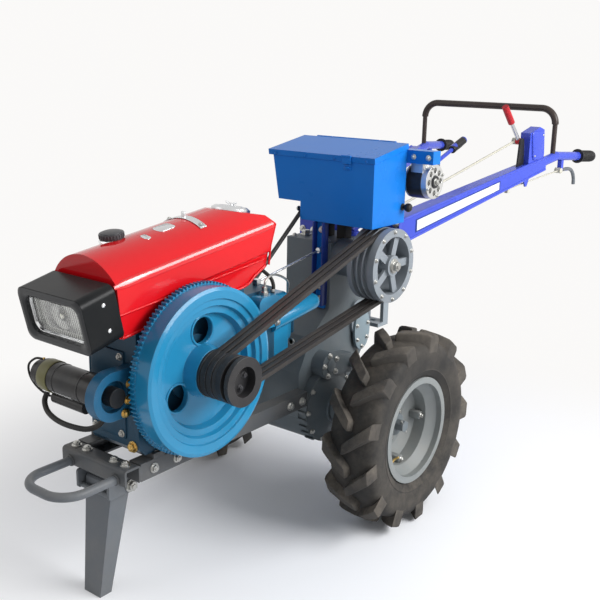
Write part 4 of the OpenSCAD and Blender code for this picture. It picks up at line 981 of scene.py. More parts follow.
    @staticmethod
    def grow(mesh: bpy.types.Mesh, tree: Tree, finish: Finish, body: str = CHASSIS,
             **values: object) -> bpy.types.Object:
        """Runs a tree on a mesh and keeps the result as a piece.

        Args:
            mesh: the shape or points to repeat, which give the piece its name.
            tree: the tree.
            finish: the piece's finish.
            body: the body that carries it.
            values: the tree's other inputs.

        Returns:
            The piece.
        """
        seed = bpy.data.objects.new(mesh.name + "_seed", mesh)
        bpy.context.scene.collection.objects.link(seed)
        modifier = seed.modifiers.new("grow", "NODES")
        modifier.node_group = tree
        values["Material"] = Finishes.material(finish)
        for item in tree.interface.items_tree:
            if item.item_type == "SOCKET" and item.in_out == "INPUT" and item.name in values:
                modifier[item.identifier] = values[item.name]
        depsgraph = bpy.context.evaluated_depsgraph_get()
        grown = bpy.data.meshes.new_from_object(seed.evaluated_get(depsgraph), depsgraph=depsgraph)
        seed.modifiers.remove(modifier)
        bpy.data.objects.remove(seed)
        grown.name = mesh.name + "_set"
        shade(grown, SMOOTH_ANGLE)
        return piece_from(grown, finish, body)


def marked_points(name: str, spots: Sequence[Spot]) -> bpy.types.Mesh:
    """A mesh of loose points, each with a direction.

    Args:
        name: the mesh's name.
        spots: pairs of a place and a direction.

    Returns:
        The mesh.
    """
    mesh = bpy.data.meshes.new(name)
    mesh.from_pydata([tuple(place) for place, _ in spots], [], [])
    ways = mesh.attributes.new("way", "FLOAT_VECTOR", "POINT")
    ways.data.foreach_set("vector", [c for _, way in spots for c in way])
    return mesh


def bolts(name: str, spots: Sequence[Spot], radius: float, finish: Finish = Finishes.zinc,
          body: str = CHASSIS) -> bpy.types.Object:
    """Hexagon bolts at marked spots.

    Args:
        name: the piece's name.
        spots: pairs of a place and the direction its head points in.
        radius: radius of a head over its corners.
        finish: the bolts' finish.
        body: the body that carries them.

    Returns:
        The piece.
    """
    sizes = {"Radius": radius, "Height": radius * HEAD_HEIGHT, "Washer": radius * WASHER_HEIGHT}
    return Trees.grow(marked_points(name, spots), Trees.bolts(), finish, body, **sizes)


def screws(name: str, spots: Sequence[Spot], radius: float, finish: Finish,
           body: str = CHASSIS) -> bpy.types.Object:
    """Round-headed screws with a raised cross at marked spots.

    Args:
        name: the piece's name.
        spots: pairs of a place and the direction its head points in.
        radius: radius of a head.
        finish: the screws' finish.
        body: the body that carries them.

    Returns:
        The piece.
    """
    r = radius
    dome = [(along * r, out * r) for along, out in SCREW_DOME]
    head = Shape().lathe(ORIGIN, Axis.Z, dome, 20)
    low, high = SCREW_CROSS_HEIGHT
    for long, wide in (SCREW_CROSS, SCREW_CROSS[::-1]):
        head.block((-long * r, -wide * r, low * r), (long * r, wide * r, high * r))
    drawn = bpy.data.objects.new(f"{name}_head", head.mesh(f"{name}_head"))
    bpy.context.scene.collection.objects.link(drawn)
    piece = Trees.grow(marked_points(name, spots), Trees.heads(), finish, body, Head=drawn)
    bpy.data.objects.remove(drawn)
    return piece


@dataclass(frozen=True)
class AreaLight:
    """A square light: where it hangs, what it points at, its side and its power in watts."""

    name: str
    place: Point
    target: Point
    size: float
    power: float

    def build(self) -> None:
        """Hangs the light."""
        data = bpy.data.lights.new(self.name, "AREA")
        data.size = self.size
        data.energy = self.power
        light = bpy.data.objects.new(self.name, data)
        turn = (Vector(self.target) - Vector(self.place)).to_track_quat("-Z", "Y")
        light.matrix_world = Matrix.Translation(self.place) @ turn.to_matrix().to_4x4()
        bpy.context.scene.collection.objects.link(light)


@dataclass
class Studio:
    """Floor, lights and the camera at the photograph's viewing angle."""

    sensor: float = 36.0
    lens: float = 54.3
    shift: Flat = (0.0, -0.004)
    camera_at: Point = (1.7987, -2.5838, 1.4450)
    yaw: float = math.radians(37.8)
    pitch: float = math.radians(14.8)
    roll: float = math.radians(1.1)
    clip_end: float = 100.0
    backdrop: Point = (0.96, 0.95, 0.94)
    # Distances from the centre where the floor starts to fade and where it has become the backdrop
    fade: Flat = (0.2, 2.0)
    centre: Point = (0.1, -0.35, 0.0)
    floor_half: float = 30.0
    floor_tones: tuple[Point, Point] = ((0.92, 0.93, 0.96), (0.95, 0.96, 0.99))
    floor_patches: float = 0.7
    floor_roughness: float = 0.85
    floor_specular: float = 0.2
    sky: Point = (0.93, 0.96, 1.0)
    sky_strength: float = 0.42
    # A large key light over the left side, a fill from the front right and a light from behind
    lights: tuple[AreaLight, ...] = (
        AreaLight("key", (3.7, 0.3, 2.5), (0.0, -0.3, 0.6), 2.2, 150.0),
        AreaLight("fill", (-2.2, -3.6, 2.6), (0.0, -0.5, 0.6), 2.6, 22.0),
        AreaLight("back", (2.9, 1.6, 2.6), (0.0, -0.6, 0.8), 1.4, 52.0),
    )

    def build(self) -> None:
        """Makes the whole studio."""
        self._camera()
        self._floor()
        self._world()
        for light in self.lights:
            light.build()
        bpy.context.scene.view_settings.view_transform = "Standard"

    def _camera(self) -> None:
        """The camera, turned by its yaw, pitch and roll."""
        data = bpy.data.cameras.new("camera")
        data.sensor_width = self.sensor
        data.lens = self.lens
        data.shift_x, data.shift_y = self.shift
        data.clip_end = self.clip_end
        ahead = Vector((
            -math.sin(self.yaw) * math.cos(self.pitch),
            math.cos(self.yaw) * math.cos(self.pitch),
            -math.sin(self.pitch),
        ))
        right = Vector((math.cos(self.yaw), math.sin(self.yaw), 0.0))
        up = right.cross(ahead)
        turned_right = right * math.cos(self.roll) + up * math.sin(self.roll)
        turned_up = up * math.cos(self.roll) - right * math.sin(self.roll)
        matrix = Matrix((turned_right, turned_up, -ahead)).transposed().to_4x4()
        matrix.translation = self.camera_at
        camera = bpy.data.objects.new("camera", data)
        camera.matrix_world = matrix
        bpy.context.scene.collection.objects.link(camera)
        bpy.context.scene.camera = camera

    def _floor(self) -> None:
        """A wide pale floor that takes the object's shadow and fades into the backdrop further out."""
        half = self.floor_half
        mesh = bpy.data.meshes.new("floor")
        corners = [(-half, -half, 0.0), (half, -half, 0.0), (half, half, 0.0), (-half, half, 0.0)]
        mesh.from_pydata(corners, [], [(0, 1, 2, 3)])
        floor = bpy.data.objects.new("floor", mesh)
        bpy.context.scene.collection.objects.link(floor)
        material = bpy.data.materials.new("floor_pale")
        material.use_nodes = True
        nodes, links = material.node_tree.nodes, material.node_tree.links
        shader = nodes["Principled BSDF"]
        shader.inputs["Roughness"].default_value = self.floor_roughness
        shader.inputs["Specular IOR Level"].default_value = self.floor_specular
        place = nodes.new("ShaderNodeTexCoord")
        noise = nodes.new("ShaderNodeTexNoise")
        noise.inputs["Scale"].default_value = self.floor_patches
        links.new(place.outputs["Object"], noise.inputs["Vector"])
        tone = nodes.new("ShaderNodeMix")
        tone.data_type = "RGBA"
        links.new(noise.outputs["Fac"], tone.inputs["Factor"])
        for socket, colour in zip((s for s in tone.inputs if s.type == "RGBA"), self.floor_tones):
            socket.default_value = (*colour, 1.0)
        links.new(next(s for s in tone.outputs if s.type == "RGBA"), shader.inputs["Base Color"])
        self._fade(material.node_tree)
        mesh.materials.append(material)

    def _fade(self, tree: Tree) -> None:
        """Turns the floor into the backdrop's colour with distance, for rays that show it.

        Args:
            tree: the floor material's tree.
        """
        nodes, links = tree.nodes, tree.links
        place = nodes.new("ShaderNodeTexCoord")
        away = nodes.new("ShaderNodeVectorMath")
        away.operation = "DISTANCE"
        away.inputs[1].default_value = self.centre
        links.new(place.outputs["Object"], away.inputs[0])
        far = remapped(tree, away.outputs["Value"], self.fade, smooth=True)
        glow = nodes.new("ShaderNodeEmission")
        glow.inputs["Color"].default_value = (*self.backdrop, 1.0)
        mix = nodes.new("ShaderNodeMixShader")
        links.new(product(tree, far, self._shown(tree)), mix.inputs["Fac"])
        links.new(nodes["Principled BSDF"].outputs["BSDF"], mix.inputs[1])
        links.new(glow.outputs["Emission"], mix.inputs[2])
        links.new(mix.outputs["Shader"], nodes["Material Output"].inputs["Surface"])

    @staticmethod
    def _shown(tree: Tree) -> Socket:
        """Tells rays that show a surface from rays that light the object by it.

        Args:
            tree: the tree.

        Returns:
            A socket with one for rays from the camera, off a glossy surface or through glass, else zero.
        """
        path = tree.nodes.new("ShaderNodeLightPath")
        value = path.outputs["Is Camera Ray"]
        for label in ("Is Glossy Ray", "Is Transmission Ray"):
            either = tree.nodes.new("ShaderNodeMath")
            either.operation = "MAXIMUM"
            tree.links.new(value, either.inputs[0])
            tree.links.new(path.outputs[label], either.inputs[1])
            value = either.outputs["Value"]
        return value

    def _world(self) -> None:
        """A soft sky that shows as near white where the camera or a reflection meets it."""
        world = bpy.data.worlds.new("studio")
        bpy.context.scene.world = world
        world.use_nodes = True
        nodes, links = world.node_tree.nodes, world.node_tree.links
        light = nodes["Background"]
        light.inputs["Color"].default_value = (*self.sky, 1.0)
        light.inputs["Strength"].default_value = self.sky_strength
        seen = nodes.new("ShaderNodeBackground")
        seen.inputs["Color"].default_value = (*self.backdrop, 1.0)
        mix = nodes.new("ShaderNodeMixShader")
        links.new(self._shown(world.node_tree), mix.inputs["Fac"])
        links.new(light.outputs["Background"], mix.inputs[1])
        links.new(seen.outputs["Background"], mix.inputs[2])
        links.new(mix.outputs["Shader"], nodes["World Output"].inputs["Surface"])


class Dressing:
    """Gives every solid its slot's finish."""

    def build(self) -> None:
        """Assigns the materials."""
        for part in frame["record"]["subparts"]:
            node = frame["nodes"][part["node"]]
            node.data.materials.clear()
            node.data.materials.append(Finishes.material(getattr(Finishes, part["material_slot"])))


def seat(origin: Sequence[float], way: Sequence[float], up: Sequence[float] = UP) -> Matrix:
    """A place to draw at: local Y runs along a way, local X to its right and local Z upwards.

    Args:
        origin: where the seat is.
        way: the direction of local Y.
        up: a direction that local Z leans towards.

    Returns:
        The matrix that carries a shape there.
    """
    y = Vector(way).normalized()
    x = y.cross(Vector(up)).normalized()
    matrix = Matrix((x, y, x.cross(y))).transposed().to_4x4()
    matrix.translation = Vector(origin)
    return matrix


def rounded_outline(half_w: float, half_h: float, radius: float, steps: int = 6) -> list[Flat]:
    """A rectangle with round corners, about zero.

    Args:
        half_w: half its width.
        half_h: half its height.
        radius: radius of its corners.
        steps: faces in a corner.

    Returns:
        Its points.
    """
    points = []
    for quarter, (sx, sy) in enumerate(((1, 1), (-1, 1), (-1, -1), (1, -1))):
        for i in range(steps + 1):
            angle = math.pi / 2 * (quarter + i / steps)
            points.append((
                sx * (half_w - radius) + radius * math.cos(angle),
                sy * (half_h - radius) + radius * math.sin(angle),
            ))
    return points


def ring_spots(centre: Sequence[float], radius: float, count: int, side: Side,
               start: float = 0.0) -> list[Spot]:
    """Bolt spots evenly round an axis along X.

    Args:
        centre: a point on the axis, in the bolts' plane.
        radius: radius of the ring of bolts.
        count: number of bolts.
        side: the machine's side that the heads point to.
        start: angle of the first, from straight up, in degrees.

    Returns:
        Pairs of a place and a direction.
    """
    spots = []
    for i in range(count):
        angle = math.radians(start) + 2 * math.pi * i / count
        place = Vector(centre) + Vector((0.0, -radius * math.sin(angle), radius * math.cos(angle)))
        spots.append((place, side.out))
    return spots


def plain_disc(start: float, end: float, radius: float) -> list[Flat]:
    """The outline of a plain disc, to be turned.

    Args:
        start: where it starts along the axis.
        end: where it ends.
        radius: its radius.

    Returns:
        Pairs of distance along the axis and radius.
    """
    return [(start, 0.0), (start, radius), (end, radius), (end, 0.0)]


def joint_axis(name: str) -> Flat:
    """Where a joint's axis crosses the machine's middle plane, as Y and Z.

    Args:
        name: the joint's name; its axis runs along X.

    Returns:
        The place.
    """
    joint = next(j for j in frame["record"]["behaviour"]["joints"] if j["name"] == name)
    return tuple(joint["pos_m"][1:])


@dataclass
class Wheel:
    """One wheel: its lugged tyre, and the nuts, clips, valve and pin that the rim and hub carry."""

    side: Side
    bead_half: float = 0.0617
    bead_radius: float = 0.1588
    flange_radius: float = 0.1729
    carcass_steps: int = 104
    lug_height: float = 0.026
    lug_thick: float = 0.030
    lug_count: int = 13
    lug_slant: float = math.radians(42.0)
    # Shares of the half-width where a lug starts, and where the first lug's edge stands straight above the axle
    lug_start: float = 0.98
    lug_upright: float = -0.08
    disc_face: float = 0.363
    nut_ring: float = 0.0502
    nut_count: int = 6
    nut_radius: float = 0.0115
    clip_count: int = 4
    clip_x: Flat = (0.372, 0.412)
    clip_out: Flat = (0.104, 0.1254)
    clip_half: float = 0.013
    clip_edge: float = 0.004
    clip_bolt: float = 0.0075
    # Valve: distances from the machine's middle, and radii
    valve: Outline = ((0.428, 0.127), (0.432, 0.112), (0.444, 0.100))
    valve_turn: float = math.radians(140.0)
    valve_radius: float = 0.0036
    pin_x: float = 0.417
    pin_reach: Point = (0.028, 0.0, -0.030)
    pin_turn: float = 0.6
    pin_radius: float = 0.0028
    # Carcass from the flange to the crown: shares of its half-width and of its height
    section: Outline = (
        (0.84, 0.06), (0.915, 0.19), (0.935, 0.20), (0.94, 0.22), (0.93, 0.235), (0.975, 0.4), (1.0, 0.58),
        (0.995, 0.70), (0.95, 0.81), (0.85, 0.895), (0.66, 0.955), (0.36, 0.99), (0.0, 1.0),
    )
    # Lug from its outer end inwards: half-width share, drop of its top and of its root, share of its thickness
    stations: tuple[Four, ...] = (
        (0.995, 0.016, 0.046, 1.22), (0.97, 0.0085, 0.044, 1.2), (0.86, 0.004, 0.034, 1.08),
        (0.5, 0.001, 0.022, 1.0), (0.1, 0.0, 0.016, 0.98), (-0.06, 0.0008, 0.016, 0.84),
        (-0.11, 0.006, 0.016, 0.6),
    )
    # Lug's cross-section: share of its half-thickness, and drop from its top, or nothing at its root
    lug_section: tuple[tuple[float, float | None], ...] = (
        (-1.3, None), (-1.06, 0.006), (-0.98, 0.0016), (-0.86, 0.0),
        (0.86, 0.0), (0.98, 0.0016), (1.06, 0.006), (1.3, None),
    )

    def __post_init__(self) -> None:
        """Takes the wheel's place from its solids."""
        self.body = f"wheel_{self.side.label}"
        self.node = f"tyre_{self.side.label}"
        box = NodeBox.of(self.node)
        self.centre = box.mid
        self.radius = box.size.z / 2
        self.half = box.size.x / 2
        self.crown = self.radius - self.lug_height
        self.lug_half_turn = math.atan(self.lug_thick / math.cos(self.lug_slant) / 2 / self.radius)

    def build(self) -> None:
        """Makes the tyre and the fittings."""
        self._carcass()
        self._lugs()
        self._clips()
        self._fittings()

    def _at(self, x: float, radius: float, angle: float) -> Vector:
        """A point by its place round the axle.

        Args:
            x: distance from the machine's middle.
            radius: distance from the axle.
            angle: angle from the top.

        Returns:
            The point.
        """
        y = self.centre.y - radius * math.sin(angle)
        z = self.centre.z + radius * math.cos(angle)
        return Vector((self.side.value * x, y, z))

    def _carcass(self) -> None:
        """The tyre under its lugs, with a rib above the bead."""
        rise = self.crown - self.flange_radius
        side = [(self.bead_half, self.bead_radius), (self.bead_half, self.flange_radius)]
        side += [(share * self.half, self.flange_radius + height * rise) for share, height in self.section]
        outline = side + [(-x, r) for x, r in reversed(side)] + side[:1]
        tyre = Shape().lathe(self.centre, Axis.X, outline, self.carcass_steps)
        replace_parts(tyre.piece(f"{self.node}_carcass", Finishes.tyre, self.body), self.node)

    def _lug_turn(self, share: float) -> float:
        """How far round the tyre a lug has come at a share of the half-width."""
        return math.atan((self.lug_start - share) * self.half * math.tan(self.lug_slant) / self.radius)

    def _lug_ring(self, hand: int, turn: float, station: Four) -> list[Vector]:
        """A lug's cross-section at one station.

        Args:
            hand: 1 for a lug from the outer shoulder, -1 for one from the inner shoulder.
            turn: how far round the tyre the lug starts.
            station: the station.

        Returns:
            The section's points.
        """
        share, drop, root, wide = station
        ring = []
        for across, below in self.lug_section:
            radius = self.crown - root if below is None else self.radius - drop - below
            point = self._at(0.0, radius, turn + self._lug_turn(share) + across * wide * self.lug_half_turn)
            point.x = self.centre.x + self.side.value * hand * share * self.half
            ring.append(point)
        return ring

    def _lugs(self) -> None:
        """A pair of lugs, one from each shoulder, repeated round the tyre."""
        step = 2 * math.pi / self.lug_count
        start = self.lug_half_turn - self._lug_turn(self.lug_upright)
        pair = Shape()
        for hand, turn in ((1, start), (-1, start + step / 2)):
            pair.loft([self._lug_ring(hand, turn, station) for station in self.stations])
        Trees.grow(pair.mesh(f"{self.node}_lugs", 40.0), Trees.ring(), Finishes.lug_dusty, self.body,
                   Count=self.lug_count, Centre=self.centre, Axis=LEFT)

    def _clips(self) -> None:
        """Clips between disc and barrel, with their bolts."""
        corners = [self._at(x, out, 0.0) for x, out in zip(self.clip_x, self.clip_out)]
        low, high = (Vector([pick(pair) for pair in zip(*corners)]) for pick in (min, max))
        low.y -= self.clip_half
        high.y += self.clip_half
        clip = Shape().block(low, high, self.clip_edge).mesh(f"{self.body}_clips")
        Trees.grow(clip, Trees.ring(), Finishes.rim_grey, self.body, Count=self.clip_count, Centre=self.centre,
                   Axis=LEFT)
        face = self._at(self.clip_x[1], 0.0, 0.0)
        spots = ring_spots(face, sum(self.clip_out) / 2, self.clip_count, self.side)
        bolts(f"{self.body}_clip_bolts", spots, self.clip_bolt, Finishes.zinc, self.body)

    def _fittings(self) -> None:
        """Hub nuts, the valve and the axle's split pin."""
        nuts = ring_spots(self._at(self.disc_face, 0.0, 0.0), self.nut_ring, self.nut_count, self.side)
        bolts(f"{self.body}_nuts", nuts, self.nut_radius, Finishes.zinc, self.body)
        valve = [self._at(x, radius, self.valve_turn) for x, radius in self.valve]
        Shape().tube(valve, self.valve_radius, 12).piece(f"{self.body}_valve", Finishes.brass, self.body)
        pin = [self._at(self.pin_x, reach, self.pin_turn) for reach in self.pin_reach]
        Shape().tube(pin, self.pin_radius, 10).piece(f"{self.body}_pin", Finishes.zinc, self.body)


@dataclass
class FrontFrame:
    """Bolts, pivot nuts and welds of the rails, front beam, bumper and stand."""

    bolt: float = 0.0105
    front_bolts: tuple[float, ...] = (-0.1, -0.055, 0.055, 0.1)
    front_inset: float = 0.028
    rear_bolts: tuple[float, ...] = (-0.105, 0.105)
    rear_inset: float = 0.017
    rail_bolts: tuple[float, ...] = (-1.055, -0.97, -0.47, -0.41)
    pivot_nut: float = 0.014
    bumper_x: float = 0.092
    # Weld bead: places along the bumper's tube, and heights above it
    bead: Outline = ((-0.006, 0.0), (-0.0045, 0.0028), (-0.001, 0.0042), (0.001, 0.004))

    def build(self) -> None:
        """Makes the fasteners and the welds."""
        beam, rails, bracket = (NodeBox.of(n) for n in ("front_beam", "frame_rails", "stand_bracket"))
        spots = [((x, beam.low.y + self.front_inset, rails.high.z), UP) for x in self.front_bolts]
        spots += [((x, beam.high.y - self.rear_inset, beam.high.z), UP) for x in self.rear_bolts]
        pivots = []
        for side in Side:
            spots += [((side.value * rails.high.x, y, rails.mid.z), side.out) for y in self.rail_bolts]
            pivots.append(((side.value * bracket.high.x, *joint_axis("stand_fold")), side.out))
        bolts("frame_bolts", spots, self.bolt)
        bolts("stand_pivot_nuts", pivots, self.pivot_nut)
        self._welds()

    def _welds(self) -> None:
        """A weld bead at both ends of the bumper."""
        bumper = NodeBox.of("bumper_loop")
        outline = [(along, bumper.size.z / 2 + height) for along, height in self.bead]
        welds = Shape()
        for side in Side:
            welds.lathe((side.value * self.bumper_x, bumper.high.y, bumper.mid.z), Axis.Y, outline, 28)
        welds.piece("bumper_welds", Finishes.frame_grey)


@dataclass
class Lamp:
    """The head lamp's bezel, trim, reflector, bulb, fluted lens and side screws."""

    face: Point = (0.0, -1.258, 0.805)
    tilt: float = math.radians(13.0)
    half_w: float = 0.126
    half_h: float = 0.075
    frame_w: float = 0.0223
    # Bezel's rings: inset from the lamp's outline, corner radius and depth behind its face
    bezel: tuple[Point, ...] = (
        (0.0012, 0.023, 0.004), (0.0012, 0.023, -0.001), (0.006, 0.020, -0.0045),
        (0.0153, 0.030, -0.0045), (0.0223, 0.026, 0.001), (0.0223, 0.026, 0.012),
    )
    # Trim's rings: inset from the frame's opening, and depth
    trim: Outline = ((0.0, 0.012), (0.0, 0.0195), (0.004, 0.0195), (0.002, 0.012))
    trim_corner: float = 0.0245
    # Reflector's front and rear rings: insets from its outline across and upwards, corner radius and depth
    bowl_gap: float = 0.001
    bowl_front: tuple[Four, ...] = (
        (0.0, 0.0, 0.012, 0.0236), (0.010, 0.006, 0.016, 0.0272), (0.028, 0.010, 0.026, 0.0296),
    )
    bowl_rear: tuple[Four, ...] = ((0.004, 0.004, 0.012, 0.0319), (0.0, 0.0, 0.012, 0.0262))
    # Reflector's well: half-width, half-height, corner radius and depth
    well: tuple[Four, ...] = (
        (0.046, 0.040, 0.0398, 0.0304), (0.036, 0.036, 0.0358, 0.0262), (0.028, 0.028, 0.0278, 0.0298),
        (0.012, 0.012, 0.0118, 0.0318),
    )
    # Bulb: depths and radii
    bulb: Outline = (
        (0.0312, 0.0), (0.0312, 0.008), (0.029, 0.0085), (0.0265, 0.0075), (0.0245, 0.004), (0.0238, 0.0),
    )
    lens_gap: float = 0.0025
    lens_depth: float = 0.020
    lens_thick: float = 0.0016
    lens_bow: float = 0.0012
    flutes: int = 26
    flute_height: float = 0.0006
    flute_steps: int = 6
    screws_at: Outline = ((-1.205, 0.857), (-1.188, 0.789))
    screw: float = 0.0062

    def build(self) -> None:
        """Makes every piece of the lamp."""
        self.place = seat(self.face, (0.0, math.cos(self.tilt), math.sin(self.tilt)))
        self._bezel()
        self._reflector()
        self._lens()
        for side in Side:
            spots = [((side.value * self.half_w, y, z), side.out) for y, z in self.screws_at]
            screws(f"lamp_side_screws_{side.label}", spots, self.screw, Finishes.chrome)

    @staticmethod
    def _ring(half_w: float, half_h: float, corner: float, depth: float) -> list[Point]:
        """A rounded rectangle at a depth behind the lamp's face."""
        return [(x, depth, z) for x, z in rounded_outline(half_w, half_h, corner)]

    def _bezel(self) -> None:
        """A raised frame round the lens, and a chrome line inside it."""
        w, h = self.half_w, self.half_h
        rings = [self._ring(w - inset, h - inset, corner, depth) for inset, corner, depth in self.bezel]
        Shape().loft(rings, closed=True).to(self.place).piece("lamp_bezel", Finishes.bezel_black)
        w, h = w - self.frame_w, h - self.frame_w
        line = [self._ring(w - inset, h - inset, self.trim_corner, depth) for inset, depth in self.trim]
        Shape().loft(line, closed=True).to(self.place).piece("lamp_trim", Finishes.chrome)

    def _reflector(self) -> None:
        """A shallow bowl with a round well for the bulb, and the bulb in it."""
        w, h = (half - self.frame_w - self.bowl_gap for half in (self.half_w, self.half_h))
        rings = [self._ring(w - across, h - up, corner, depth) for across, up, corner, depth in self.bowl_front]
        rings += [self._ring(*sizes) for sizes in self.well]
        rings += [self._ring(w - across, h - up, corner, depth) for across, up, corner, depth in self.bowl_rear]
        bowl = Shape().loft(rings, closed=True).to(self.place)
        bowl.piece("lamp_reflector", Finishes.reflector, smooth_angle=50.0)
        bulb = Shape().lathe(ORIGIN, Axis.Y, self.bulb, 24).to(self.place)
        bulb.piece("lamp_bulb", Finishes.bulb)

    def _lens(self) -> None:
        """A clear plate with upright flutes on its inner face."""
        half_w, half_h = (half - self.frame_w - self.lens_gap for half in (self.half_w, self.half_h))
        steps = self.flutes * self.flute_steps
        outer, inner = [], []
        for i in range(steps + 1):
            share = i / steps
            across = 2 * share - 1
            front = self.lens_depth - self.lens_bow * (1 - across ** 2)
            flute = self.flute_height * math.cos(2 * math.pi * share * self.flutes)
            outer.append((half_w * across, front))
            inner.append((half_w * across, front + self.lens_thick + flute))
        lens = Shape().prism(outer + inner[::-1], Axis.Z, -half_h, half_h).to(self.place)
        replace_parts(lens.piece("lamp_glass", Finishes.lens_clear, smooth_angle=60.0), "lamp_lens")


@dataclass
class Hood:
    """Beads, strap, latch plates, filler cap and wing nut of the hood."""

    pitch: float = math.atan2(0.082, 0.621)
    half_w: float = 0.122
    crown: float = 0.066
    front: Flat = (-1.166, 0.892)
    edge_x: float = 0.112
    bead_x: float = 0.1205
    # Lines of the beads along the hood's side: Y and Z
    lower_edge: Outline = (
        (-1.136, 0.7545), (-0.90, 0.779), (-0.682, 0.8015), (-0.63, 0.826), (-0.58, 0.850),
    )
    rear_edge: Outline = ((-0.574, 0.853), (-0.567, 0.911), (-0.5455, 0.972))
    swage: Outline = ((-1.1655, 0.8164), (-1.0, 0.8325), (-0.60, 0.872))
    edge_radius: float = 0.0042
    rear_radius: float = 0.0032
    swage_radius: float = 0.0034
    # Crease along the shoulder: places along it, and shares of its full section there
    crease: Outline = ((-1.1655, 0.45), (-1.13, 1.0), (-0.845, 1.0), (-0.556, 1.0))
    crease_half: Flat = (0.0034, 0.0115)
    crease_lean: float = math.radians(19.0)
    crease_drop: float = 0.0005
    crease_sides: int = 24
    cap_at: Point = (-0.040, -1.022, 0.911)
    cap_low: float = 0.066
    cap_height: float = 0.015
    cap_radius: float = 0.033
    rib_count: int = 26
    rib_reach: Flat = (0.002, 0.0013)
    rib_half: float = 0.0014
    rib_inset: float = 0.002
    # Cap's collar: heights from the cap's foot, and shares of its radius
    collar: Outline = (
        (-0.014, 0.78), (-0.014, 1.06), (-0.004, 1.10), (-0.0005, 1.02), (-0.0005, 0.78),
    )
    # Cap's domed top: heights from the cap's rim, and shares of its radius
    dish: Outline = ((-0.001, 0.9), (0.002, 0.86), (0.0045, 0.6), (0.005, 0.0))
    strap_y: float = -0.80
    strap_half: Flat = (0.074, 0.012)
    strap_thick: float = 0.0022
    strap_lift: float = 0.0006
    strap_rise: float = 0.003
    strap_steps: int = 14
    strap_bolt_x: float = 0.062
    strap_bolt: float = 0.006
    strap_bolt_lift: float = 0.002
    # Latch plates: X, Y, half-width and half-length
    plates: tuple[Four, ...] = ((0.030, -0.975, 0.015, 0.010), (0.016, -0.895, 0.020, 0.030))
    plate_sink: float = 0.0016
    plate_arc: float = 0.146
    plate_layers: Outline = ((0.0, 0.0), (0.0035, 0.0), (0.0045, 0.0015))
    cleaner_slope: float = math.atan2(-0.0222, 0.125)
    cleaner_top: float = 1.0195
    # Wing nut: pressed ring and hub by height and radius, and one wing by reach and height
    nut_ring: Outline = ((0.0, 0.036), (0.0026, 0.034), (0.003, 0.031), (0.0026, 0.028), (0.0, 0.026))
    nut_hub: Outline = ((0.0, 0.0085), (0.007, 0.008), (0.010, 0.0055), (0.0104, 0.0))
    nut_wing: Outline = ((0.006, 0.004), (0.020, 0.009), (0.022, 0.014), (0.017, 0.015), (0.006, 0.010))

    def __post_init__(self) -> None:
        """Works out the crown's radius and its upward direction."""
        self.arc = (self.half_w * self.half_w + self.crown * self.crown) / (2 * self.crown)
        self.up = Vector((0.0, -math.sin(self.pitch), math.cos(self.pitch)))

    def build(self) -> None:
        """Makes every fitting of the hood."""
        for side in Side:
            edge_x, bead_x = side.value * self.edge_x, side.value * self.bead_x
            lower = Shape().tube([(edge_x, y, z) for y, z in self.lower_edge], self.edge_radius, 12, 4)
            lower.piece(f"hood_edge_{side.label}", Finishes.hood_red)
            rear = Shape().tube([(bead_x, y, z) for y, z in self.rear_edge], self.rear_radius, 10, 1)
            rear.piece(f"hood_rear_edge_{side.label}", Finishes.hood_red)
            swage = Shape().tube([(bead_x, y, z) for y, z in self.swage], self.swage_radius, 12, 1)
            swage.piece(f"hood_swage_{side.label}", Finishes.hood_red)
            self._crease(side)
        self._cap()
        self._strap()
        self._plates()
        self._cleaner()

    def _top(self, x: float, y: float) -> float:
        """Height of the hood's crown before its ridge.

        Args:
            x: distance from the machine's middle.
            y: place along the machine.

        Returns:
            The height.
        """
        shoulder = self.front[1] + (y - self.front[0]) * math.tan(self.pitch)
        bulge = self.crown - self.arc + math.sqrt(self.arc * self.arc - x * x)
        return shoulder + bulge * math.cos(self.pitch)

    def _crease(self, side: Side) -> None:
        """A broad flat bead along the shoulder, where the hood's side turns into its crown.

        Args:
            side: the hood's side.
        """
        cos, sin = math.cos(self.crease_lean), math.sin(self.crease_lean)
        out = Vector((side.value * cos, 0.0, sin)) * self.crease_half[0]
        along = Vector((-side.value * sin, 0.0, cos)) * self.crease_half[1]
        turns = [2 * math.pi * i / self.crease_sides for i in range(self.crease_sides)]
        rings = []
        for y, full in self.crease:
            corner = Vector((side.value * self.bead_x, y, self._top(self.half_w, y) - self.crease_drop))
            rings.append([corner + (out * math.cos(turn) + along * math.sin(turn)) * full for turn in turns])
        Shape().loft(rings).piece(f"hood_crease_{side.label}", Finishes.crease_red)

    def _cap(self) -> None:
        """Chrome collar, grip ribs and the domed top of the filler cap."""
        place = seat(self.cap_at, self.up, REAR)
        low, high, radius = self.cap_low, self.cap_low + self.cap_height, self.cap_radius
        collar = [(low + height, radius * share) for height, share in self.collar]
        Shape().lathe(ORIGIN, Axis.Y, collar, 48).to(place).piece("cap_collar", Finishes.chrome)
        (root, tip), half = self.rib_reach, self.rib_half
        inset = self.rib_inset
        rib = Shape().block((radius - root, low + inset, -half), (radius + tip, high - inset, half), 0.0006)
        Trees.grow(rib.to(place).mesh("cap_ribs"), Trees.ring(), Finishes.cap_dark, Count=self.rib_count,
                   Centre=self.cap_at, Axis=self.up)
        dish = [(high + height, radius * share) for height, share in self.dish]
        Shape().lathe(ORIGIN, Axis.Y, dish, 40).to(place).piece("cap_top", Finishes.cap_dark)

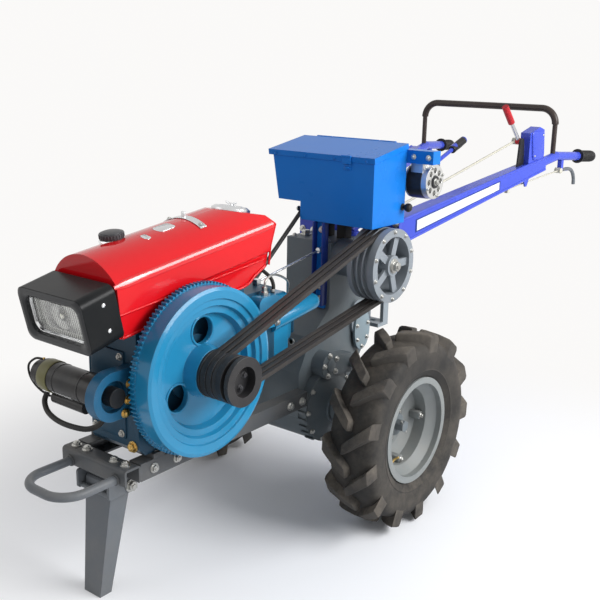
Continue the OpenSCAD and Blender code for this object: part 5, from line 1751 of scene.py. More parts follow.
    def _strap(self) -> None:
        """A bent steel strap over the crown, with a tongue and two bolts."""
        half, wide = self.strap_half
        front, rear = self.strap_y - wide, self.strap_y + wide
        rings = []
        for i in range(self.strap_steps + 1):
            x = half * (2 * i / self.strap_steps - 1)
            low = self._top(x, self.strap_y) + self.strap_lift
            high = low + self.strap_rise
            thick = self.strap_thick
            rings.append([(x, front, low), (x, rear, high), (x, rear, high + thick), (x, front, low + thick)])
        strap = Shape().loft(rings)
        foot = self._top(0.0, self.strap_y)
        strap.block((-0.007, self.strap_y - 0.008, foot), (0.007, self.strap_y - 0.003, foot + 0.020), 0.0015)
        strap.piece("hood_strap", Finishes.bright_metal)
        spots = [((x, self.strap_y, self._top(x, self.strap_y) + self.strap_bolt_lift), self.up)
                 for x in (-self.strap_bolt_x, self.strap_bolt_x)]
        bolts("hood_strap_bolts", spots, self.strap_bolt)

    def _plates(self) -> None:
        """Two latch plates ahead of the strap, set square on the crown."""
        way = (0.0, math.cos(self.pitch), math.sin(self.pitch))
        plates = Shape()
        for x, y, half_w, half_l in self.plates:
            rings = [[(u, v, height) for u, v in rounded_outline(half_w - inset, half_l - inset, half_w * 0.6)]
                     for height, inset in self.plate_layers]
            lean = math.atan2(x, self.plate_arc)
            spot = (x, y, self._top(x, y) - self.plate_sink)
            plates.join(Shape().loft(rings).to(seat(spot, way, (math.sin(lean), 0.0, math.cos(lean)))))
        plates.piece("hood_plates", Finishes.bright_metal)

    def _cleaner(self) -> None:
        """A wing nut and a pressed ring on the air cleaner's dome."""
        box = NodeBox.of("hood_fittings")
        axis = (0.0, -math.sin(self.cleaner_slope), math.cos(self.cleaner_slope))
        nut = Shape().lathe(ORIGIN, Axis.Y, self.nut_ring, 48)
        nut.lathe(ORIGIN, Axis.Y, self.nut_hub, 24)
        for side in Side:
            wing = [(side.value * reach, height) for reach, height in self.nut_wing]
            nut.prism(wing, Axis.Z, -0.0016, 0.0016, 0.0006)
        nut.to(seat((box.mid.x, box.mid.y, self.cleaner_top), axis, REAR))
        nut.piece("cleaner_nut", Finishes.bright_metal)


@dataclass
class Starter:
    """Band, seams, plate, terminals, lead and cable of the starter motor, and its bracket's bolts."""

    axis: Flat = (-1.170, 0.606)
    radius: float = 0.042
    end: float = -0.190
    end_bolt: float = 0.006
    end_bolt_ring: float = 0.021
    # Olive band: places along the motor, and heights off its side
    band: Outline = (
        (-0.152, -0.001), (-0.152, 0.0018), (-0.150, 0.0026),
        (-0.116, 0.0026), (-0.114, 0.0018), (-0.114, -0.001),
    )
    seams_x: Point = (-0.09, 0.012, 0.058)
    seam: Outline = ((-0.003, -0.001), (-0.002, 0.0012), (0.002, 0.0012), (0.003, -0.001))
    # Bright plate: its ends, its faces' heights off the motor, and its turn from the top with half its arc
    plate_x: Flat = (-0.10, -0.02)
    plate_faces: Flat = (0.0002, 0.0012)
    plate_turn: Flat = (150.0, 22.0)
    solenoid: Flat = (-1.170, 0.548)
    solenoid_end: float = -0.128
    terminal_half: float = 0.0085
    terminal: float = 0.0052
    bracket_face: float = 0.112
    bracket_bolts: Outline = ((-1.124, 0.585), (-1.118, 0.628), (-1.136, 0.553))
    bracket_bolt: float = 0.0095
    lead: tuple[Point, ...] = (
        (-0.168, -1.172, 0.646), (-0.186, -1.186, 0.648), (-0.207, -1.194, 0.628), (-0.209, -1.192, 0.598),
        (-0.196, -1.186, 0.572), (-0.170, -1.182, 0.556), (-0.140, -1.179, 0.549),
    )
    lead_radius: float = 0.0032
    cable: tuple[Point, ...] = (
        (-0.156, -1.176, 0.556), (-0.154, -1.188, 0.534), (-0.132, -1.196, 0.512), (-0.090, -1.200, 0.500),
        (-0.040, -1.198, 0.496), (0.020, -1.190, 0.500), (0.054, -1.176, 0.516), (0.071, -1.162, 0.546),
    )
    cable_radius: float = 0.0075
    stud_at: Point = (-0.168, -1.172, 0.6375)
    stud: Outline = (
        (0.0, 0.0), (0.0, 0.0055), (0.004, 0.0055), (0.006, 0.0035), (0.013, 0.0032), (0.013, 0.0),
    )

    def build(self) -> None:
        """Makes every fitting of the starter."""
        self._rings()
        self._plate()
        self._bolts()
        self._wires()

    def _rings(self) -> None:
        """The olive band and the seams between the motor's parts."""
        centre = (0.0, *self.axis)
        band = [(x, self.radius + height) for x, height in self.band]
        Shape().lathe(centre, Axis.X, band, 64).piece("starter_band", Finishes.olive_band)
        seams = Shape()
        for x in self.seams_x:
            seams.lathe(centre, Axis.X, [(x + along, self.radius + height) for along, height in self.seam], 64)
        seams.piece("starter_seams", Finishes.starter_black)

    def _plate(self) -> None:
        """A plain bright plate, bent round the motor's side."""
        y, z = self.axis
        start, end = self.plate_x
        near, out = (self.radius + height for height in self.plate_faces)
        middle, half = self.plate_turn
        rings = []
        for share in (-1.0, -0.5, 0.0, 0.5, 1.0):
            angle = math.radians(middle + half * share)
            rings.append([(x, y - r * math.sin(angle), z + r * math.cos(angle))
                          for x, r in ((start, near), (end, near), (end, out), (start, out))])
        Shape().loft(rings).piece("starter_plate", Finishes.bright_metal)

    def _bolts(self) -> None:
        """Bolts of the end cap and the bracket, and the solenoid's terminals."""
        spots = ring_spots((self.end, *self.axis), self.end_bolt_ring, 2, Side.RIGHT, 40.0)
        bolts("starter_end_bolts", spots, self.end_bolt)
        y, z = self.solenoid
        studs = [((self.solenoid_end, y + d, z), RIGHT) for d in (-self.terminal_half, self.terminal_half)]
        bolts("starter_terminals", studs, self.terminal, Finishes.brass)
        spots = [((self.bracket_face, *place), LEFT) for place in self.bracket_bolts]
        bolts("starter_bracket_bolts", spots, self.bracket_bolt, Finishes.brass)

    def _wires(self) -> None:
        """The lead with its stud, and a smooth cable in place of the faceted one."""
        Shape().tube(self.lead, self.lead_radius, 10).piece("starter_lead", Finishes.cable_black)
        cable = Shape().tube(self.cable, self.cable_radius, 16)
        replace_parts(cable.piece("cable_smooth", Finishes.cable_black, smooth_angle=60.0), "starter_cable")
        Shape().lathe(self.stud_at, Axis.Z, self.stud, 18).piece("starter_stud", Finishes.brass)


@dataclass
class Engine:
    """Bolts, pipes, covers and plug of the engine."""

    bolt: float = 0.0085
    # Bolts of the right-hand case cover: Y and Z
    cover_bolts: Outline = (
        (-1.01, 0.475), (-0.935, 0.459), (-0.85, 0.459), (-0.765, 0.475), (-0.718, 0.53), (-0.718, 0.63),
        (-0.765, 0.687), (-0.85, 0.703), (-0.935, 0.703), (-1.01, 0.687),
    )
    # Bolts of the cylinder head: X and Z
    head_bolts: Outline = ((-0.078, 0.566), (-0.078, 0.712), (0.078, 0.566), (0.078, 0.712))
    # Bolts of the pump: shares of its length, and of its height
    pump_bolts: Outline = ((0.14, 0.12), (0.86, 0.12))
    # Pump's delivery nut: heights and radii
    nut: Outline = (
        (-0.001, 0.0), (-0.001, 0.012), (0.010, 0.012), (0.012, 0.0085), (0.024, 0.0085), (0.026, 0.006),
        (0.026, 0.0),
    )
    # Injection pipe: steps from the delivery nut's top, then places at the head
    pipe_start: tuple[Point, ...] = (ORIGIN, (0.0, 0.006, 0.018), (-0.008, 0.05, 0.026))
    pipe_end: tuple[Point, ...] = ((0.118, -0.50, 0.800), (0.108, -0.465, 0.775), (0.098, -0.455, 0.742))
    pipe_radius: float = 0.0036
    # Fuel hose: steps from its place on the pump, then places under the tank
    hose_from: Point = (0.5, 0.9, 1.0)
    hose_start: tuple[Point, ...] = (ORIGIN, (0.0, 0.004, 0.02))
    hose_end: tuple[Point, ...] = ((0.128, -0.575, 0.815), (0.104, -0.588, 0.838), (0.096, -0.60, 0.852))
    hose_radius: float = 0.0055
    clip: Outline = ((-0.004, 0.0056), (-0.004, 0.0072), (0.004, 0.0072), (0.004, 0.0056))
    clip_height: float = 0.008
    rocker_inset: Flat = (0.022, 0.055)
    rocker_depth: float = 0.020
    rocker_edge: float = 0.008
    # Front plate: X and Z of its corners, and how far it stands out
    plate_low: Flat = (-0.060, 0.455)
    plate_high: Flat = (0.070, 0.700)
    plate_out: float = 0.006
    plate_bolts_x: Flat = (-0.048, 0.058)
    plate_bolts_z: Point = (0.470, 0.578, 0.685)
    plate_bolt: float = 0.0075
    drain_at: Flat = (0.095, 0.440)
    drain: float = 0.012

    def __post_init__(self) -> None:
        """Takes the engine's places from its solids."""
        self.block, self.head, self.pump = (
            NodeBox.of(node) for node in ("engine_block", "cylinder_head", "injection_pump")
        )

    def build(self) -> None:
        """Makes every fitting of the engine."""
        self._bolts()
        self._pipes()
        self._rocker()
        self._front()

    def _bolts(self) -> None:
        """Bolts of the case cover, the cylinder head and the pump."""
        spots = [((self.block.low.x, y, z), RIGHT) for y, z in self.cover_bolts]
        spots += [((x, self.head.high.y, z), REAR) for x, z in self.head_bolts]
        spots += [(self.pump.at(1.0, y, z), LEFT) for y, z in self.pump_bolts]
        bolts("engine_bolts", spots, self.bolt)

    def _pipes(self) -> None:
        """The pump's delivery nut, the injection pipe, and the fuel hose with its clip."""
        start = self.pump.at(0.5, 0.5, 1.0)
        Shape().lathe(start, Axis.Z, self.nut, 6).piece("pump_nut", Finishes.zinc, smooth_angle=20.0)
        top = start + Vector((0.0, 0.0, self.nut[-1][0]))
        pipe = [*(top + Vector(step) for step in self.pipe_start), *self.pipe_end]
        Shape().tube(pipe, self.pipe_radius, 10).piece("injection_pipe", Finishes.zinc)
        foot = self.pump.at(*self.hose_from)
        hose = [*(foot + Vector(step) for step in self.hose_start), *self.hose_end]
        Shape().tube(hose, self.hose_radius, 12).piece("fuel_hose", Finishes.cable_black)
        clip_at = foot + Vector((0.0, 0.0, self.clip_height))
        Shape().lathe(clip_at, Axis.Z, self.clip, 20).piece("hose_clip", Finishes.zinc)

    def _rocker(self) -> None:
        """The rocker cover on the cylinder head."""
        head = self.head
        across, up = self.rocker_inset
        low = (head.low.x + across, head.high.y - 0.001, head.low.z + up)
        high = (head.high.x - across, head.high.y + self.rocker_depth, head.high.z - up)
        Shape().block(low, high, self.rocker_edge).piece("rocker_cover", Finishes.engine_teal)

    def _front(self) -> None:
        """The front cover plate with its bolts, and the drain plug."""
        y = self.block.low.y
        face = y - self.plate_out
        low = (self.plate_low[0], face, self.plate_low[1])
        high = (self.plate_high[0], y + 0.002, self.plate_high[1])
        Shape().block(low, high, 0.004).piece("front_plate", Finishes.engine_teal)
        spots = [((x, face, z), AHEAD) for x in self.plate_bolts_x for z in self.plate_bolts_z]
        bolts("front_plate_bolts", spots, self.plate_bolt)
        x, z = self.drain_at
        bolts("drain_plug", [((x, y, z), AHEAD)], self.drain, Finishes.brass)


@dataclass
class Drive:
    """What the flywheel, the drive pulley and the clutch pulley carry."""

    flywheel: str = "flywheel_set"
    clutch: str = "clutch_set"
    web_face: float = 0.1652
    hole_out: float = 0.1113
    hole_count: int = 3
    # Lip of a hole in the flywheel's web: heights off the web's face, and radii
    lip: Outline = (
        (-0.001, 0.0375), (-0.001, 0.0445), (0.0025, 0.0435), (0.0035, 0.0405), (0.0025, 0.0375),
    )
    drive_end: float = 0.320
    collar_depth: float = 0.028
    crank_ring: float = 0.026
    crank_count: int = 4
    crank_bolt: float = 0.0075
    clutch_face: float = 0.298
    washer: Point = (-0.001, 0.002, 0.024)
    clutch_nut: float = 0.016
    rim_ring: float = 0.110
    rim_count: int = 10
    rim_bolt: float = 0.0055

    def build(self) -> None:
        """Makes the fittings of the three turning pieces."""
        self._flywheel()
        self._clutch()

    def _flywheel(self) -> None:
        """Lips of the flywheel's holes, and bolts in the drive pulley's collar."""
        y, z = joint_axis("flywheel_spin")
        outline = [(self.web_face + height, radius) for height, radius in self.lip]
        lip = Shape().lathe((0.0, y, z + self.hole_out), Axis.X, outline, 40).mesh("flywheel_hole_lips")
        Trees.grow(lip, Trees.ring(), Finishes.engine_cyan, self.flywheel, Count=self.hole_count,
                   Centre=(0.0, y, z), Axis=LEFT)
        floor = (self.drive_end - self.collar_depth, y, z)
        spots = ring_spots(floor, self.crank_ring, self.crank_count, Side.LEFT, 20.0)
        bolts("crank_bolts", spots, self.crank_bolt, Finishes.cap_dark, self.flywheel)

    def _clutch(self) -> None:
        """The clutch pulley's washer, centre nut and rim bolts."""
        centre = joint_axis("clutch_spin")
        start, end = (self.clutch_face + height for height in self.washer[:2])
        washer = Shape().lathe((0.0, *centre), Axis.X, plain_disc(start, end, self.washer[2]), 36)
        washer.piece("clutch_washer", Finishes.zinc, self.clutch)
        bolts("clutch_nut", [((end, *centre), LEFT)], self.clutch_nut, Finishes.zinc, self.clutch)
        spots = ring_spots((self.clutch_face, *centre), self.rim_ring, self.rim_count, Side.LEFT)
        bolts("clutch_rim_bolts", spots, self.rim_bolt, Finishes.zinc, self.clutch)


@dataclass
class Gearbox:
    """Bolts, caps, oval cover and plug of the gearbox."""

    case_x: float = 0.122
    case_ring: float = 0.1165
    case_count: int = 10
    bolt: float = 0.0075
    lobe_x: float = 0.140
    lobe_front: Flat = (-0.272, 0.462)
    lobe_ring: float = 0.036
    lobe_count: int = 5
    pin_x: float = 0.172
    lobe_rear: Flat = (-0.154, 0.444)
    pin_nut: float = 0.010
    # Cap of a steering casing: heights off the casing, and radii
    cap: Outline = ((0.0, 0.022), (0.004, 0.021), (0.006, 0.016), (0.006, 0.0))
    cover_at: Flat = (-0.047, 0.532)
    cover_half: Flat = (0.046, 0.074)
    cover_thick: float = 0.008
    cover_edge: float = 0.002
    cover_steps: int = 40
    # Oval cover's bolts: shares of its half-sizes
    cover_bolts: Outline = (
        (0.0, 0.84), (0.0, -0.84), (0.72, 0.25), (-0.72, 0.25), (0.62, -0.45), (-0.62, -0.45),
    )
    cover_bolt: float = 0.0062
    plug_at: Flat = (-0.058, -0.165)
    plug: Outline = (
        (-0.002, 0.0), (-0.002, 0.020), (0.004, 0.020), (0.006, 0.015), (0.016, 0.015), (0.018, 0.012),
        (0.018, 0.0),
    )
    top_bolts: Outline = ((-0.078, -0.20), (-0.078, -0.05), (0.062, -0.20), (0.062, -0.05))

    def build(self) -> None:
        """Makes every fitting of the gearbox."""
        self._bolts()
        self._cover()
        self._top()

    def _bolts(self) -> None:
        """Bolts of both final cases and both steering casings, the casings' pin nuts and caps."""
        spots, pins = [], []
        caps = Shape()
        for side in Side:
            hand = side.value
            case = (hand * self.case_x, *joint_axis(f"wheel_{side.label}_spin"))
            lobe = (hand * self.lobe_x, *self.lobe_front)
            spots += ring_spots(case, self.case_ring, self.case_count, side, 18.0)
            spots += ring_spots(lobe, self.lobe_ring, self.lobe_count, side, 10.0)
            pins.append(((hand * self.pin_x, *self.lobe_rear), side.out))
            caps.lathe(lobe, Axis.X, [(hand * height, radius) for height, radius in self.cap], 32)
        bolts("gearbox_bolts", spots, self.bolt)
        bolts("steering_pin_nuts", pins, self.pin_nut)
        caps.piece("casing_caps", Finishes.gear_grey)

    def _cover(self) -> None:
        """An oval plate over the side cover, with its bolts."""
        base = NodeBox.of("side_cover").high.x
        face = base + self.cover_thick
        y, z = self.cover_at
        half_y, half_z = self.cover_half
        turns = [2 * math.pi * i / self.cover_steps for i in range(self.cover_steps)]
        oval = [(y + half_y * math.cos(turn), z + half_z * math.sin(turn)) for turn in turns]
        plate = Shape().prism(oval, Axis.X, base - 0.001, face, self.cover_edge)
        plate.piece("oval_cover", Finishes.cover_pale)
        spots = [((face, y + half_y * u, z + half_z * v), LEFT) for u, v in self.cover_bolts]
        bolts("oval_cover_bolts", spots, self.cover_bolt)

    def _top(self) -> None:
        """The filler plug and the bolts on the gearbox's top."""
        top = NodeBox.of("box_mounts").low.z
        plug = Shape().lathe((*self.plug_at, top), Axis.Z, self.plug, 6)
        plug.piece("gear_filler_plug", Finishes.zinc, smooth_angle=20.0)
        bolts("gear_top_bolts", [((x, y, top), UP) for x, y in self.top_bolts], self.bolt)


@dataclass
class Toolbox:
    """Hasp, staple, rivets, knob, post flanges and bolts of the toolbox."""

    lid: str = "lid"
    hasp_x: float = 0.166
    hasp_half: float = 0.016
    # Hasp: its lower and upper end from the lid's lower edge, and its front and back from the lip's face
    hasp_z: Flat = (-0.006, 0.021)
    hasp_y: Flat = (-0.0035, 0.001)
    hinge_half: float = 0.018
    hinge_radius: float = 0.0035
    # Hasp's hinge: its place from the lip's face and the lid's lower edge
    hinge_at: Flat = (-0.004, 0.018)
    staple_drop: float = 0.017
    # Staple's loop: places across it, and from the box's front
    staple: Outline = ((-0.007, 0.001), (-0.007, -0.009), (0.0, -0.013), (0.007, -0.009), (0.007, 0.001))
    staple_radius: float = 0.0022
    staple_plate: Flat = (0.014, 0.009)
    staple_faces: Flat = (-0.0025, 0.0005)
    rivet_shares: tuple[float, ...] = (0.06, 0.36, 0.64, 0.94)
    rivet_height: float = 0.007
    rivet: float = 0.0038
    knob_at: Flat = (-0.072, 0.984)
    # Knob on its rose: distances from the box's side, and radii
    knob: Outline = (
        (-0.001, 0.0), (-0.001, 0.012), (0.0025, 0.012), (0.004, 0.006), (0.010, 0.006), (0.013, 0.011),
        (0.019, 0.0142), (0.026, 0.0142), (0.031, 0.011), (0.033, 0.006), (0.0335, 0.0),
    )
    flange_out: float = 0.022
    flange_thick: float = 0.0045
    post_bolts_z: Point = (0.672, 0.712, 0.905)
    post_bolt: float = 0.008
    # Stay strut's bolts: Y and Z of the one at the box, and of the one at the engine
    strut_box: Flat = (-0.224, 0.962)
    strut_engine: Flat = (-0.496, 0.748)
    strut_bolt: float = 0.0065

    def build(self) -> None:
        """Makes every fitting of the toolbox."""
        self._hasp()
        self._staple()
        self._knob()
        self._post()

    def _hasp(self) -> None:
        """A hinged hasp on the lid's lip, and the lip's rivets."""
        lid, box = NodeBox.of("toolbox_lid"), NodeBox.of("toolbox")
        x, y, z = self.hasp_x, lid.low.y, lid.low.z
        (front, back), (low, high) = self.hasp_y, self.hasp_z
        corners = ((x - self.hasp_half, y + front, z + low), (x + self.hasp_half, y + back, z + high))
        hasp = Shape().block(*corners, 0.0012)
        hinge = (x - self.hinge_half, y + self.hinge_at[0], z + self.hinge_at[1])
        hasp.lathe(hinge, Axis.X, plain_disc(0.0, 2 * self.hinge_half, self.hinge_radius), 16)
        hasp.piece("lid_hasp", Finishes.box_blue, self.lid)
        across = [box.low.x + share * box.size.x for share in self.rivet_shares]
        spots = [((x, y, z + self.rivet_height), AHEAD) for x in across]
        screws("lid_rivets", spots, self.rivet, Finishes.box_blue, self.lid)

    def _staple(self) -> None:
        """The staple that the hasp drops over, on its plate."""
        x, y = self.hasp_x, NodeBox.of("toolbox").low.y
        z = NodeBox.of("toolbox_lid").low.z - self.staple_drop
        staple = Shape().tube([(x + u, y + v, z) for u, v in self.staple], self.staple_radius, 10)
        (half_w, half_h), (front, back) = self.staple_plate, self.staple_faces
        staple.block((x - half_w, y + front, z - half_h), (x + half_w, y + back, z + half_h), 0.001)
        staple.piece("box_staple", Finishes.box_blue)

    def _knob(self) -> None:
        """A black knob on its rose, on the box's left side."""
        side = NodeBox.of("toolbox").high.x
        outline = [(side + out, radius) for out, radius in self.knob]
        Shape().lathe((0.0, *self.knob_at), Axis.X, outline, 32).piece("box_knob", Finishes.grip_black)

    def _post(self) -> None:
        """Side flanges that make the post a channel, and the bolts of the post and the stay strut."""
        post, strut = NodeBox.of("box_post"), NodeBox.of("stay_strut")
        front, foot, top = post.low.y - self.flange_out, post.low.z + 0.012, post.high.z - 0.0005
        flanges = Shape()
        for x in (post.low.x - self.flange_thick, post.high.x):
            flanges.block((x, front, foot), (x + self.flange_thick, post.high.y, top), 0.001)
        flanges.piece("post_flanges", Finishes.post_blue)
        spots = [((post.mid.x, post.low.y, z), AHEAD) for z in self.post_bolts_z]
        bolts("post_bolts", spots, self.post_bolt)
        spots = [((strut.low.x, *self.strut_box), RIGHT), ((strut.mid.x, *self.strut_engine), UP)]
        bolts("strut_bolts", spots, self.strut_bolt)


@dataclass
class Alternator:
    """Sleeve, centre boss and bolts of the alternator."""

    axis: Flat = (0.012, 1.064)
    radius: float = 0.056
    start: float = 0.250
    face: float = 0.332
    sleeve_height: Flat = (-0.001, 0.0012)
    # Boss: heights off the face, and radii
    boss: Outline = (
        (-0.001, 0.0), (-0.001, 0.022), (0.005, 0.020), (0.006, 0.015), (0.003, 0.012), (0.003, 0.0),
    )
    nut: float = 0.009
    bolt: float = 0.0048
    bolt_share: float = 0.9
    bar_shares: Flat = (0.42, 0.86)
    bar_bolt: float = 0.007

    def build(self) -> None:
        """Makes every fitting of the alternator."""
        root, top = (self.radius + height for height in self.sleeve_height)
        start, end = self.start + 0.006, self.face - 0.019
        sleeve = [(start, root), (start + 0.001, top), (end - 0.001, top), (end, root)]
        centre = (0.0, *self.axis)
        Shape().lathe(centre, Axis.X, sleeve, 64).piece("alternator_sleeve", Finishes.starter_black)
        boss = [(self.face + height, radius) for height, radius in self.boss]
        Shape().lathe(centre, Axis.X, boss, 36).piece("alternator_boss", Finishes.pulley_black)
        bolts("alternator_nut", [((boss[-1][0], *self.axis), LEFT)], self.nut)
        spots = ring_spots((self.face, *self.axis), self.radius * self.bolt_share, 4, Side.LEFT, 22.5)
        bolts("alternator_bolts", spots, self.bolt)
        bar = NodeBox.of("alternator_bar")
        spots = [(bar.at(share, 0.0, 0.5), AHEAD) for share in self.bar_shares]
        bolts("alternator_bar_bolts", spots, self.bar_bolt)


@dataclass
class Handles:
    """Panels, edges, grip ribs and bolts of the two handles, and the small fittings of the controls."""

    foot: Point = (0.176, 0.016, 0.879)
    splay: float = math.atan2(0.171, 1.324)
    rise: float = 0.195 / 1.039
    beam_length: float = 0.929
    foot_half: Flat = (0.033, 0.043)
    end_half: Flat = (0.023, 0.025)
    strip_steps: int = 8
    strip_root: float = -0.0005
    # Panel and its border: start and end along the handle, lower and upper share of its half-height
    border: Four = (0.085, 0.60, -0.60, 0.50)
    border_out: float = 0.0007
    panel: Four = (0.092, 0.593, -0.50, 0.40)
    panel_out: float = 0.0013
    edge_along: Four = (0.002, 0.3, 0.6, 0.926)
    edge_height: float = 0.95
    edge_out: float = -0.0012
    edge_radius: float = 0.0050
    grip_end: Point = (0.347, 1.340, 1.056)
    grip_fall: float = math.atan2(0.018, 0.296)
    grip_radius: float = 0.0235
    # Rib and round end of a grip: places along it, and heights off its side; the end's tip is on its axis
    rib: Outline = (
        (0.0, -0.002), (0.0, 0.0), (0.0012, 0.0011), (0.0034, 0.0011), (0.0046, 0.0), (0.0046, -0.002),
        (0.0, -0.002),
    )
    rib_start: float = 0.1
    rib_step: float = 0.0084
    rib_count: int = 11
    dome: Outline = ((-0.001, 0.0), (0.003, -0.001), (0.006, -0.006))
    dome_tip: float = 0.0075
    frame_bolt: float = 0.0095
    # Bolts at the back and at the front of the handle frame: X of the left ones, and Z
    back_bolts: Outline = ((0.06, 0.812), (0.06, 0.862), (0.12, 0.812), (0.12, 0.862))
    front_bolts: Outline = ((0.15, 0.845), (0.15, 0.91), (0.198, 0.845), (0.198, 0.91))
    lever_end: Point = (0.060, 0.706, 1.142)
    lever_way: Point = (0.0, 0.760, 0.2735)
    sleeve: Outline = (
        (-0.100, 0.0), (-0.100, 0.0142), (-0.096, 0.0158), (-0.078, 0.0152), (-0.05, 0.0160), (-0.02, 0.0154),
        (-0.002, 0.0150), (0.003, 0.011), (0.0045, 0.0),
    )
    housing_at: Point = (0.3068, 0.8565, 1.128)
    housing_way: Point = (0.99, -0.13, 0.0)
    housing_half: Flat = (0.047, 0.056)
    housing_corner: float = 0.016
    # Face plate of the lever's housing: heights off the housing, and insets
    housing_layers: Outline = ((-0.001, 0.0), (0.003, 0.0), (0.0055, 0.003), (0.006, 0.008))
    housing_taper: float = 0.2
    housing_screws: Outline = ((-0.032, 0.040), (0.020, -0.040))
    housing_screw: float = 0.0042
    # Clutch lever's pivot: distance out of the handle's middle plane, along it, and height
    shank_at: Point = (-0.013, 0.770, 1.146)
    shank_lean: float = math.radians(40.0)
    shank_start: float = 0.0125
    shank_length: float = 0.0958
    shank_radius: float = 0.0078
    # Steering lever's hook and the tab under the handle: places along the handle, and heights
    hook: Outline = (
        (1.098, 1.0125), (1.14, 1.0140), (1.172, 1.0085), (1.194, 0.990), (1.204, 0.966), (1.206, 0.944),
    )
    hook_radius: float = 0.0075
    eye_at: Flat = (1.072, 1.012)
    eye_half: float = 0.0135
    eye_radius: float = 0.0115
    tab: Outline = ((0.778, 1.0035), (0.826, 1.0105), (0.806, 0.968), (0.796, 0.968))
    tab_out: Flat = (0.010, 0.016)

    def build(self) -> None:
        """Makes both sides, then the controls."""
        for side in Side:
            self._panel(side)
            self._grip(side)
            self._steering(side)
        self._bolts()
        self._gear_lever()
        self._housing()
        self._clutch_shank()

    def _on_face(self, side: Side, along: float, height: float, out: float) -> Vector:
        """A point on a handle's outer face.

        Args:
            side: the handle's side.
            along: distance from its foot.
            height: share of its half-height, from the middle.
            out: distance off the face.

        Returns:
            The point.
        """
        share = along / self.beam_length
        half_w, half_h = (a + (b - a) * share for a, b in zip(self.foot_half, self.end_half))
        return self._at(side, half_w + out, along, self.foot[2] + along * self.rise + height * half_h)

    def _at(self, side: Side, out: float, along: float, height: float) -> Vector:
        """A point beside a handle.

        Args:
            side: the handle's side.
            out: distance out of its middle plane.
            along: distance along it from its foot.
            height: height above the ground.

        Returns:
            The point.
        """
        x = self.foot[0] + along * math.sin(self.splay) + out * math.cos(self.splay)
        y = self.foot[1] + along * math.cos(self.splay) - out * math.sin(self.splay)
        return Vector((side.value * x, y, height))

    def _strip(self, side: Side, span: Four, out: float) -> Shape:
        """A thin strip on a handle's outer face.

        Args:
            side: the handle's side.
            span: its start and end along the handle, and its lower and upper share of the half-height.
            out: how far it stands off the face.

        Returns:
            The strip.
        """
        start, end, low, high = span
        root = self.strip_root
        rings = []
        for i in range(self.strip_steps + 1):
            along = start + (end - start) * i / self.strip_steps
            corners = ((low, root), (high, root), (high, out), (low, out))
            rings.append([self._on_face(side, along, height, off) for height, off in corners])
        return Shape().loft(rings)

    def _panel(self, side: Side) -> None:
        """A plain pale panel with a dark border, and rolled upper and lower edges.

        Args:
            side: the handle's side.
        """
        name = side.label
        border = self._strip(side, self.border, self.border_out)
        border.piece(f"panel_border_{name}", Finishes.post_blue)
        panel = self._strip(side, self.panel, self.panel_out)
        panel.piece(f"panel_{name}", Finishes.stripe_pale)
        for height, edge in ((self.edge_height, "upper"), (-self.edge_height, "lower")):
            path = [self._on_face(side, along, height, self.edge_out) for along in self.edge_along]
            tube = Shape().tube(path, self.edge_radius, 12, 1)
            tube.piece(f"handle_{edge}_edge_{name}", Finishes.handle_violet)

    def _grip(self, side: Side) -> None:
        """Ribs along a grip, and its round end.

        Args:
            side: the handle's side.
        """
        level = math.cos(self.grip_fall)
        way = Vector((
            side.value * math.sin(self.splay) * level, math.cos(self.splay) * level, -math.sin(self.grip_fall),
        ))
        end = Vector((side.value * self.grip_end[0], *self.grip_end[1:]))
        outline = [(along, self.grip_radius + height) for along, height in self.rib]
        rib = Shape().lathe(ORIGIN, Axis.Y, outline, 36).to(seat(end - way * self.rib_start, way))
        Trees.grow(rib.mesh(f"grip_ribs_{side.label}"), Trees.row(), Finishes.grip_black,
                   Count=self.rib_count, Step=way * self.rib_step)
        dome = [(along, self.grip_radius + height) for along, height in self.dome]
        dome = [(dome[0][0], 0.0), *dome, (self.dome_tip, 0.0)]
        tip = Shape().lathe(ORIGIN, Axis.Y, dome, 32).to(seat(end, way))
        tip.piece(f"grip_end_{side.label}", Finishes.grip_black)

    def _steering(self, side: Side) -> None:
        """A bent steel hook on a steering lever, the rod's eye and a tab under the handle.

        Args:
            side: the handle's side.
        """
        hook = Shape().tube([self._at(side, 0.0, along, z) for along, z in self.hook], self.hook_radius, 14, 4)
        hook.piece(f"steering_hook_{side.label}", Finishes.bar_grey)
        across = self._at(side, 1.0, 0.0, 0.0) - self._at(side, 0.0, 0.0, 0.0)
        eye = Shape().lathe(ORIGIN, Axis.Y, plain_disc(-self.eye_half, self.eye_half, self.eye_radius), 24)
        eye.to(seat(self._at(side, 0.0, *self.eye_at), across))
        eye.piece(f"steering_eye_{side.label}", Finishes.rod_cream)
        rings = [[self._at(side, out, along, z) for along, z in self.tab] for out in self.tab_out]
        Shape().loft(rings).piece(f"handle_tab_{side.label}", Finishes.handle_violet)

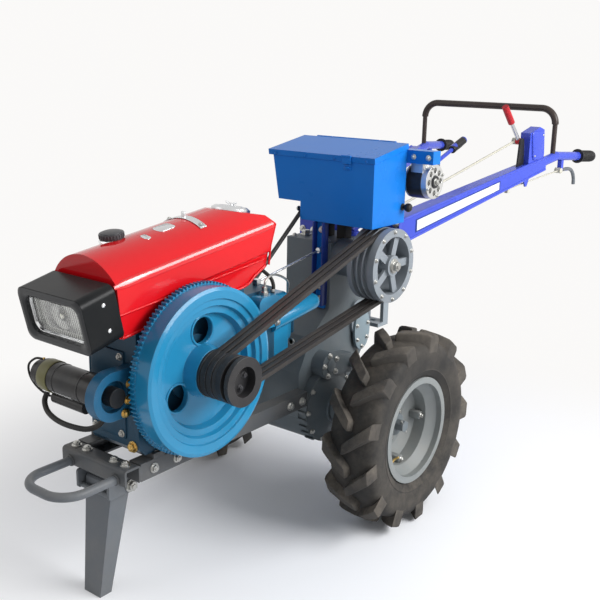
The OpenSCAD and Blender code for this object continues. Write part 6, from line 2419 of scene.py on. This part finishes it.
    def _bolts(self) -> None:
        """Bolts of the handle frame."""
        plate = NodeBox.of("handle_frame")
        spots = []
        for side in Side:
            spots += [((side.value * x, plate.high.y, z), REAR) for x, z in self.back_bolts]
            spots += [((side.value * x, plate.low.y, z), AHEAD) for x, z in self.front_bolts]
        bolts("handle_frame_bolts", spots, self.frame_bolt)

    def _gear_lever(self) -> None:
        """The gear lever's grip."""
        grip = Shape().lathe(ORIGIN, Axis.Y, self.sleeve, 28).to(seat(self.lever_end, self.lever_way))
        grip.piece("gear_lever_grip", Finishes.grip_black)

    def _housing(self) -> None:
        """The face plate of the clutch lever's housing, narrower at its foot, and its screws."""
        place = seat(self.housing_at, self.housing_way)
        half_w, half_h = self.housing_half
        rings = []
        for out, inset in self.housing_layers:
            outline = rounded_outline(half_w - inset, half_h - inset, self.housing_corner)
            rings.append([(x * (1 - self.housing_taper * (1 - z / half_h)), out, z) for x, z in outline])
        Shape().loft(rings).to(place).piece("housing_plate", Finishes.handle_violet)
        face = self.housing_layers[2][0]
        way = place.to_3x3() @ Vector(REAR)
        spots = [(place @ Vector((x, face, z)), way) for x, z in self.housing_screws]
        screws("housing_screws", spots, self.housing_screw, Finishes.zinc)

    def _clutch_shank(self) -> None:
        """The bare shank of the clutch lever, under its red grip."""
        out, along, height = self.shank_at
        low = self._at(Side.LEFT, out, along, height)
        back, up = self.shank_length * math.sin(self.shank_lean), self.shank_length * math.cos(self.shank_lean)
        high = self._at(Side.LEFT, out, along - back, height + up)
        outline = plain_disc(self.shank_start, self.shank_length, self.shank_radius)
        shank = Shape().lathe(ORIGIN, Axis.Y, outline, 24).to(seat(low, high - low))
        shank.piece("clutch_shank", Finishes.bright_metal)


def main() -> None:
    """Builds the studio and the machine's dressing."""
    logging.basicConfig(level=logging.INFO, format="%(message)s")
    sections = (
        Studio(), Dressing(), Wheel(Side.LEFT), Wheel(Side.RIGHT), FrontFrame(), Lamp(), Hood(), Starter(),
        Engine(), Drive(), Gearbox(), Toolbox(), Alternator(), Handles(),
    )
    for section in sections:
        section.build()
        LOG.info("%s done", type(section).__name__)


if __name__ == "__main__":
    main()
